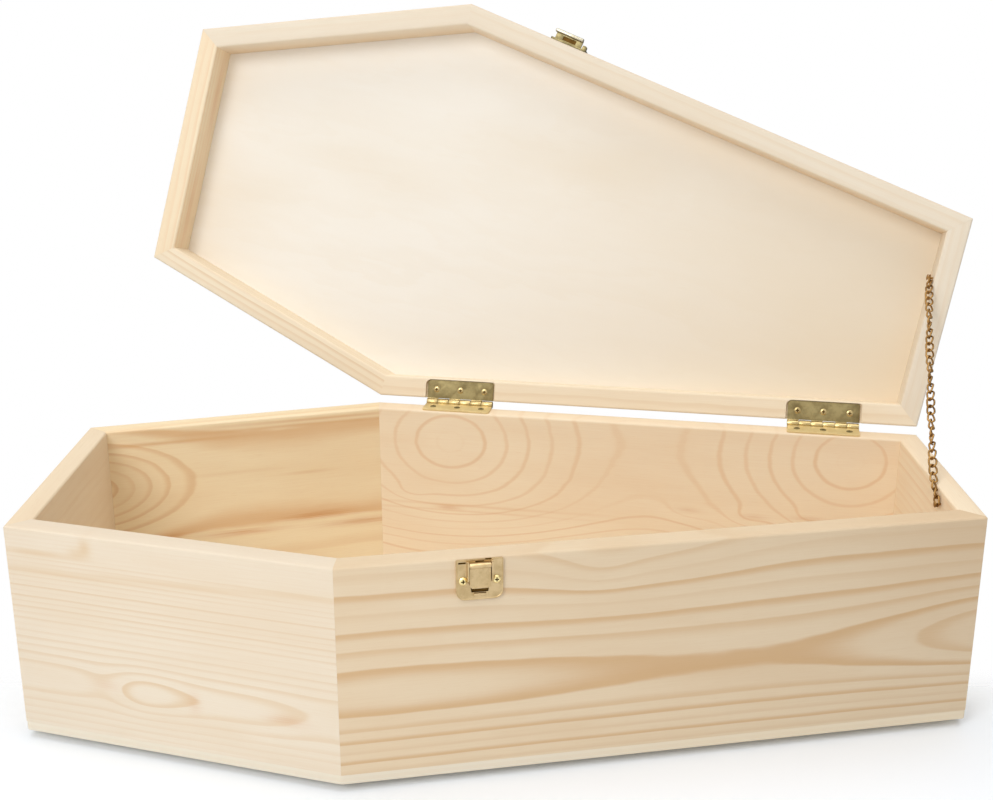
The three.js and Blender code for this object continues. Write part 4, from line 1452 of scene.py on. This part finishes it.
# %% Catch sizes and place
CATCH_FROM_SHOULDER = 55.8
PLATE_WIDTH = 18.4
PLATE_HEIGHT = 16.8
PLATE_THICKNESS = 1.0
PLATE_BELOW_RIM = 0.4
PLATE_CORNER = 3.4
PLATE_TOP_CORNER = 0.6
PLATE_SEAT_GAP = 0.05
CATCH_SCREW_OFFSET = 6.55
CATCH_SCREW_BELOW_RIM = 9.1
LEVER_WIDTH = 8.2
LEVER_TIP = 11.8
LEVER_THICKNESS = 0.9
LEVER_BARREL_RADIUS = 1.15
LEVER_CORNER = 1.3
LEVER_AXIS_BELOW_RIM = 2.5
LEVER_AXIS_OUT = 2.25
CHEEK_GAP = 0.25
CHEEK_THICKNESS = 0.7
CHEEK_HEIGHT = 3.2
CHEEK_LENGTH = 8.4
CHEEK_BELOW_RIM = 1.0
front_along = side_along[1]
catch_point = corners[1] + front_along * CATCH_FROM_SHOULDER
front_turn = math.atan2(front_along.y, front_along.x)


def front_place(height):
    point = (catch_point + UP * height) * MM
    return Matrix.Translation(point) @ Matrix.Rotation(front_turn, 4, "Z")


catch_place = front_place(BOX_HEIGHT)
print("catch stands at:", [round(value / MM, 1) for value in catch_place.translation])

# %% A pressed plate
CORNER_STEPS = 5
PLATE_PRESS = ((0.3, 0.0), (0.2, 0.14))


def press_in(steps):
    for border, depth in steps:
        bpy.ops.mesh.inset(thickness=border * MM, depth=-depth * MM)


def pressed_plate(name, left, right, low, high, low_corner, high_corner):
    def low_edge(edge):
        return runs_along(edge, 1) and middle(edge).z < low + EDGE_NEAR

    def high_edge(edge):
        return runs_along(edge, 1) and middle(edge).z > high - EDGE_NEAR

    plate = block(name, (left, -PLATE_THICKNESS, low), (right, -PLATE_SEAT_GAP, high))
    round_edges(plate, low_edge, low_corner, CORNER_STEPS)
    round_edges(plate, high_edge, high_corner, CORNER_STEPS)
    open_edit(plate)
    pick(plate, "FACE", lambda face: face.normal.y < -FACING)
    press_in(PLATE_PRESS)
    close_edit()
    return plate


plate_top = -PLATE_BELOW_RIM
catch = pressed_plate("catch_base", -PLATE_WIDTH / 2, PLATE_WIDTH / 2, plate_top - PLATE_HEIGHT,
                      plate_top, PLATE_CORNER, PLATE_TOP_CORNER)
print("plate faces:", len(catch.data.polygons))

# %% Cheeks and ledge
ROOT = -0.5
CHEEK_ROUND = 1.6
CHEEK_ROUND_BELOW = -5.0
LEDGE_LOW = (-2.4, -1.8, -15.5)
LEDGE_HIGH = (2.4, ROOT, -14.3)
LEDGE_ROUND = 0.4


def front_edge(edge, front):
    return runs_along(edge, 0) and middle(edge).y < front + EDGE_NEAR


def low_front_edge(edge):
    return front_edge(edge, -CHEEK_HEIGHT) and middle(edge).z < CHEEK_ROUND_BELOW


cheek = LEVER_WIDTH / 2 + CHEEK_GAP
for x in (-cheek - CHEEK_THICKNESS, cheek):
    wing = block("cheek", (x, -CHEEK_HEIGHT, -CHEEK_BELOW_RIM - CHEEK_LENGTH),
                 (x + CHEEK_THICKNESS, ROOT, -CHEEK_BELOW_RIM))
    open_edit(wing)
    pick(wing, "EDGE", low_front_edge)
    bpy.ops.mesh.bevel(offset=CHEEK_ROUND * MM, segments=4, affect="EDGES")
    close_edit()
    combine(catch, wing, "UNION")
ledge = block("ledge", LEDGE_LOW, LEDGE_HIGH)
round_edges(ledge, lambda edge: front_edge(edge, LEDGE_LOW[1]), LEDGE_ROUND, 3)
combine(catch, ledge, "UNION")
print("plate faces with cheeks and ledge:", len(catch.data.polygons))

# %% Slot and notches
SLOT_HALF = 3.8
SLOT_LOW = -14.1
SLOT_HIGH = -11.0
SLOT_FLOOR = -0.2
SLOT_TAPER = 0.86
CUT_FRONT = -2.0
NOTCH_FLOOR = -0.35
PLATE_SOFT = 0.12
notches = (
    ((-8.3, -2.0), (-5.4, -1.3)),
    ((-1.7, -1.6), (1.7, -1.0)),
    ((2.2, -0.8), (4.6, 0.2)),
)
slot = block("slot", (-SLOT_HALF, CUT_FRONT, SLOT_LOW), (SLOT_HALF, SLOT_FLOOR, SLOT_HIGH))
open_edit(slot)
pick(slot, "VERT", lambda vert: vert.co.z / MM < SLOT_LOW + EDGE_NEAR)
bpy.ops.transform.resize(value=(SLOT_TAPER, 1, 1), center_override=(0, 0, 0))
close_edit()
combine(catch, slot, "DIFFERENCE")
for low, high in notches:
    bar = block("notch", (low[0], CUT_FRONT, low[1]), (high[0], NOTCH_FLOOR, high[1]))
    combine(catch, bar, "DIFFERENCE")
soften(catch, PLATE_SOFT)
smooth(catch, STAMPED_SMOOTH)
print("notches:", len(notches))

# %% Painted shade inside the slot and the notches
CUT_NEAR = 0.05
SLOT_PAINTED_SHADE = -0.8
NOTCH_PAINTED_SHADE = -0.85


def in_cut(centre, low, high, front):
    along = low[0] - CUT_NEAR < centre.x < high[0] + CUT_NEAR
    up = low[1] - CUT_NEAR < centre.z < high[1] + CUT_NEAR
    return along and up and centre.y > front


def inside_cut(face):
    centre = face.center / MM
    in_slot = in_cut(centre, (-SLOT_HALF, SLOT_LOW), (SLOT_HALF, SLOT_HIGH), SLOT_PAINTED_SHADE)
    return in_slot or any(in_cut(centre, low, high, NOTCH_PAINTED_SHADE) for low, high in notches)


# Faces inside the slot and the notches get the darkest brass: painted shade in these hollows.
catch.data.materials.append(catch_brass)
catch.data.materials.append(shaded_brass)
for face in catch.data.polygons:
    face.material_index = 1 if inside_cut(face) else 0
fit_copy(catch, "catch_plate_pressed", catch_place, "catch_plate")
print("dull faces:", sum(face.material_index for face in catch.data.polygons))
put_away(catch)

# %% Lever
LEVER_PRESS = ((0.45, 0.0), (0.35, 0.16), (0.4, 0.05))
LEVER_BORE = 0.72
lever_half = LEVER_WIDTH / 2
lever_low = LEVER_AXIS_OUT - LEVER_THICKNESS / 2


def tip_corner(edge):
    return runs_along(edge, 1) and middle(edge).z < -LEVER_TIP + EDGE_NEAR


lever = block("lever", (-lever_half, -lever_low - LEVER_THICKNESS, -LEVER_TIP),
              (lever_half, -lever_low, -LEVER_AXIS_BELOW_RIM))
round_edges(lever, tip_corner, LEVER_CORNER, 4)
open_edit(lever)
pick(lever, "FACE", lambda face: face.normal.y < -FACING)
press_in(LEVER_PRESS)
close_edit()
axis_place = Matrix.Translation(Vector((0, -LEVER_AXIS_OUT, -LEVER_AXIS_BELOW_RIM)) * MM)
barrel = rod("lever_barrel", LEVER_BARREL_RADIUS, -lever_half, lever_half, 32)
combine(lever, settle(barrel, axis_place), "UNION")
bore = rod("lever_bore", LEVER_BORE, -lever_half - BORE_SPARE, lever_half + BORE_SPARE, 24)
combine(lever, settle(bore, axis_place), "DIFFERENCE")
soften(lever, SHEET_SOFT)
smooth(lever, STAMPED_SMOOTH)
fit_copy(lever, "catch_lever_pressed", catch_place, "catch_lever", catch_brass)
print("lever faces:", len(lever.data.polygons))
put_away(lever)

# %% Lever pin and the catch's screws
LEVER_PIN = 0.55
LEVER_PIN_ROUND = 0.15
pin_half = lever_half + CHEEK_GAP + CHEEK_THICKNESS
pin = rod("lever_pin", LEVER_PIN, -pin_half, pin_half, 20)
round_edges(pin, end_rim, LEVER_PIN_ROUND, 2)
settle(smooth(pin), axis_place)
fit_copy(pin, "catch_pin_turned", catch_place, "catch_pin", catch_brass)
put_away(pin)
face_front = Matrix.Rotation(math.pi / 2, 4, "X")
for number, sign in ((1, -1), (2, 1)):
    spot = Vector((sign * CATCH_SCREW_OFFSET, -PLATE_THICKNESS, -CATCH_SCREW_BELOW_RIM)) * MM
    place = catch_place @ Matrix.Translation(spot) @ face_front
    fit_copy(plate_screw, f"catch_screw_domed_{number}", place, f"catch_screw_{number}")
print("catch screws placed:", number)

# %% [markdown]
# ## Keeper
# The keeper is a plate on the lid's front whose lower edge is folded out and rolled into a bar
# that the lever pulls down. The web between plate and bar is a block with a pocket cut in it,
# the bar is a rod with rounded ends, and a small ear stands beside it. The bar takes a pale
# copy of the brass, a painted highlight; the plate and web take a dark copy and the pocket the
# darkest brass, both painted shade.

# %% Keeper
KEEPER_LEFT = -11.7
KEEPER_RIGHT = 7.3
KEEPER_LOW = 0.8
KEEPER_HIGH = 11.8
KEEPER_CORNER = 0.8
HOOK_LEFT = -10.9
HOOK_RIGHT = 4.3
HOOK_REACH = 5.8
BAR_RADIUS = 0.95
BAR_ROUND = 0.6
WEB_LOW = 2.0
WEB_THICKNESS = 0.8
WEB_INSET = 1.0
POCKET_LOW = (-6.0, -3.4)
POCKET_HIGH = (1.0, -1.4)
POCKET_DEPTH = 0.5
POCKET_SPARE = 1.0
EAR_LEFT = 5.0
EAR_REACH = -2.8
EAR_HEIGHT = 2.0
EAR_ROUND = 0.7


def ear_corner(edge):
    return runs_along(edge, 2) and middle(edge).y < EAR_REACH + EDGE_NEAR


keeper_place = swing @ front_place(LID_RIM)
keeper = pressed_plate("keeper_base", KEEPER_LEFT, KEEPER_RIGHT, KEEPER_LOW, KEEPER_HIGH,
                       KEEPER_CORNER, PLATE_CORNER)
web = block("web", (HOOK_LEFT + WEB_INSET, -HOOK_REACH + BAR_RADIUS, WEB_LOW),
            (HOOK_RIGHT, ROOT, WEB_LOW + WEB_THICKNESS))
pocket = block("pocket", (*POCKET_LOW, WEB_LOW - POCKET_SPARE),
               (*POCKET_HIGH, WEB_LOW + POCKET_DEPTH))
combine(web, pocket, "DIFFERENCE")
combine(keeper, web, "UNION")
bar_line = Vector((0, BAR_RADIUS - HOOK_REACH, KEEPER_LOW + BAR_RADIUS))
bar = rod("bar", BAR_RADIUS, HOOK_LEFT, HOOK_RIGHT, 32)
round_edges(bar, end_rim, BAR_ROUND, 4)
combine(keeper, settle(bar, Matrix.Translation(bar_line * MM)), "UNION")
ear = block("ear", (EAR_LEFT, EAR_REACH, KEEPER_LOW), (KEEPER_RIGHT, ROOT, KEEPER_LOW + EAR_HEIGHT))
round_edges(ear, ear_corner, EAR_ROUND, 4)
combine(keeper, ear, "UNION")
soften(keeper, SHEET_SOFT)
smooth(keeper, STAMPED_SMOOTH)
print("keeper faces:", len(keeper.data.polygons))

# %% Painted light and shade on the keeper, and its screws
KEEPER_SCREWS = (-9.5, 5.1)
KEEPER_SCREW_UP = 7.0


def in_pocket(centre):
    across = all(low < value < high for low, value, high in zip(POCKET_LOW, centre.xy, POCKET_HIGH))
    return across and WEB_LOW < centre.z < WEB_LOW + POCKET_DEPTH + SKIN_NEAR


def keeper_light_and_shade(centre):
    if (centre - bar_line).yz.length < BAR_RADIUS + SKIN_NEAR:
        return 1
    return 2 if in_pocket(centre) else 0


# The bar gets the pale copy, a painted highlight; the plate and web get the dark copy and the
# pocket the darkest, both painted shade.
for material in (keeper_brass, bar_brass, shaded_brass):
    keeper.data.materials.append(material)
for face in keeper.data.polygons:
    face.material_index = keeper_light_and_shade(face.center / MM)
fit_copy(keeper, "keeper_pressed", keeper_place, "keeper")
for number, x in enumerate(KEEPER_SCREWS, 1):
    spot = Vector((x, -PLATE_THICKNESS, KEEPER_SCREW_UP)) * MM
    place = keeper_place @ Matrix.Translation(spot) @ face_front
    fit_copy(plate_screw, f"keeper_screw_domed_{number}", place, f"keeper_screw_{number}")
put_away(keeper, plate_screw)
print("keeper screws placed:", len(KEEPER_SCREWS))

# %% [markdown]
# ## Stay chain
# The chain is a curb chain: each link is a ring drawn out and twisted, so that it lies through
# its neighbours. A torus is pulled apart at its middle, twisted with Simple Deform, and copied
# along the chain's route, one smooth curve from nail to nail. Each link is rolled a little
# further than the one before it, as a hanging chain turns about its own line. The two ends are
# held by nails.

# %% One link
CHAIN_LINKS = 33
LINK_HALF_WIDTH = 1.6
LINK_HALF_LENGTH = 2.38
WIRE_RADIUS = 0.45
LINK_TWIST = math.radians(32)
LINK_SMOOTH = 60
OFF_MIDDLE = 1e-6


def twisted_link(name, start_twist, end_twist):
    bpy.ops.object.select_all(action="DESELECT")
    bpy.ops.mesh.primitive_torus_add(
        major_radius=LINK_HALF_WIDTH * MM, minor_radius=WIRE_RADIUS * MM,
        major_segments=28, minor_segments=10,
    )
    link = bpy.context.object
    link.name = name
    stretch = (LINK_HALF_LENGTH - LINK_HALF_WIDTH) * MM
    open_edit(link)
    for sign in (-1, 1):
        pick(link, "VERT", lambda vert: vert.co.x * sign > OFF_MIDDLE)
        bpy.ops.transform.translate(value=(sign * stretch, 0, 0))
    close_edit()
    twist = link.modifiers.new("twist", "SIMPLE_DEFORM")
    twist.deform_method = "TWIST"
    twist.deform_axis = "X"
    twist.angle = end_twist - start_twist
    bpy.ops.object.modifier_apply(modifier=twist.name)
    settle(link, Matrix.Rotation((start_twist + end_twist) / 2, 4, "X"))
    return smooth(link, LINK_SMOOTH)


middle_link = twisted_link("link_middle", -LINK_TWIST, LINK_TWIST)
first_link = twisted_link("link_first", 0, LINK_TWIST)
last_link = twisted_link("link_last", -LINK_TWIST, 0)
print("link size in mm:", [round(side / MM, 2) for side in middle_link.dimensions])

# %% Route of the chain
BOX_NAIL_ACROSS = -22.5
LID_NAIL_ACROSS = -19.8
NAIL_FROM_RIM = 6.0
CHAIN_STANDOFF = 1.4
CHAIN_RIM_ACROSS = -13.5
CHAIN_RIM_STANDOFF = 1.0
CHAIN_RIM_CLEARANCE = 1.6
FOOT_FACE = inner_corners[2].x


def chain_end(nail_across, nail_height, rim_height):
    return [
        Vector((FOOT_FACE - CHAIN_STANDOFF, nail_across, nail_height)) * MM,
        Vector((FOOT_FACE - CHAIN_RIM_STANDOFF, CHAIN_RIM_ACROSS, rim_height)) * MM,
    ]


box_nail_height = BOX_HEIGHT - NAIL_FROM_RIM
lid_nail_height = LID_RIM + NAIL_FROM_RIM
box_end = chain_end(BOX_NAIL_ACROSS, box_nail_height, BOX_HEIGHT + CHAIN_RIM_CLEARANCE)
lid_end = chain_end(LID_NAIL_ACROSS, lid_nail_height, LID_RIM - CHAIN_RIM_CLEARANCE)
lid_end = [swing @ point for point in lid_end]
route = box_end + lid_end[::-1]
print("route from rim to rim in mm:", round((route[2] - route[1]).length / MM, 1))

# %% One smooth curve through the route
RUN_STEPS = 200


def smooth_run(before, first, second, after, steps):
    pairs = ((before, first), (first, second), (second, after))
    gap_in, gap, gap_out = [(b - a).length ** 0.5 for a, b in pairs]
    straight = (second - first) / gap
    leave = (first - before) / gap_in - (second - before) / (gap_in + gap) + straight
    arrive = straight - (after - first) / (gap + gap_out) + (after - second) / gap_out
    leave *= gap
    arrive *= gap
    points = []
    for step in range(steps):
        t = step / steps
        points.append(
            first * (2 * t**3 - 3 * t**2 + 1) + leave * (t**3 - 2 * t**2 + t)
            + second * (3 * t**2 - 2 * t**3) + arrive * (t**3 - t**2)
        )
    return points


ends = [2 * route[0] - route[1]] + route + [2 * route[-1] - route[-2]]
path = []
for k in range(3):
    path += smooth_run(*ends[k:k + 4], RUN_STEPS)
path.append(route[-1])
lengths = [0.0]
for first, second in zip(path, path[1:]):
    lengths.append(lengths[-1] + (second - first).length)
print("chain length in mm:", round(lengths[-1] / MM, 1))

# %% Links along the route
LINK_ROLL = math.radians(-22.5)
LINK_TO_NAIL = 1.5


def on_path(distance):
    k = max(i for i in range(len(path) - 1) if lengths[i] <= distance)
    share = (distance - lengths[k]) / (lengths[k + 1] - lengths[k])
    return path[k].lerp(path[k + 1], share), (path[k + 1] - path[k]).normalized()


pitch = (lengths[-1] - 2 * LINK_TO_NAIL * MM) / (CHAIN_LINKS - 1)
models = [first_link] + [middle_link] * (CHAIN_LINKS - 2) + [last_link]
links = []
for number, model in enumerate(models):
    point, along = on_path(LINK_TO_NAIL * MM + number * pitch)
    across = Vector((1, 0, 0)).cross(along).normalized()
    place = Matrix.Identity(4)
    place.col[0].xyz = along
    place.col[1].xyz = across
    place.col[2].xyz = along.cross(across)
    place.translation = point
    place = place @ Matrix.Rotation(number * LINK_ROLL, 4, "X")
    links.append(settle(copy_piece(model, "link"), place))
chain = join(links)
chain.name = "stay_chain"
put_away(middle_link, first_link, last_link)
chain.data.materials.clear()
chain.data.materials.append(chain_bronze)
tuple(route[1])
tuple(route[2])
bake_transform(chain)
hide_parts("lid_chain")
print("chain faces:", len(chain.data.polygons))

# %% Nails that hold the chain
NAIL_OUT = 2.4
NAIL_DEPTH = 5.0
nail = domed_fastener(
    "nail", head_radius=1.5, head_height=0.7, neck=0.05, shank_radius=0.55,
    length=NAIL_OUT + NAIL_DEPTH, tip=1.0,
)
lift = Matrix.Translation(Vector((0, 0, NAIL_OUT)) * MM)
out_of_wall = Matrix.Rotation(-math.pi / 2, 4, "Y") @ lift
box_nail = Matrix.Translation(Vector((FOOT_FACE, BOX_NAIL_ACROSS, box_nail_height)) * MM)
lid_nail = swing @ Matrix.Translation(Vector((FOOT_FACE, LID_NAIL_ACROSS, lid_nail_height)) * MM)
for name, place in (("box", box_nail), ("lid", lid_nail)):
    fit_copy(nail, f"nail_in_{name}", place @ out_of_wall, f"chain_nail_{name}",
             chain_bronze)
put_away(nail)
print("nails placed")
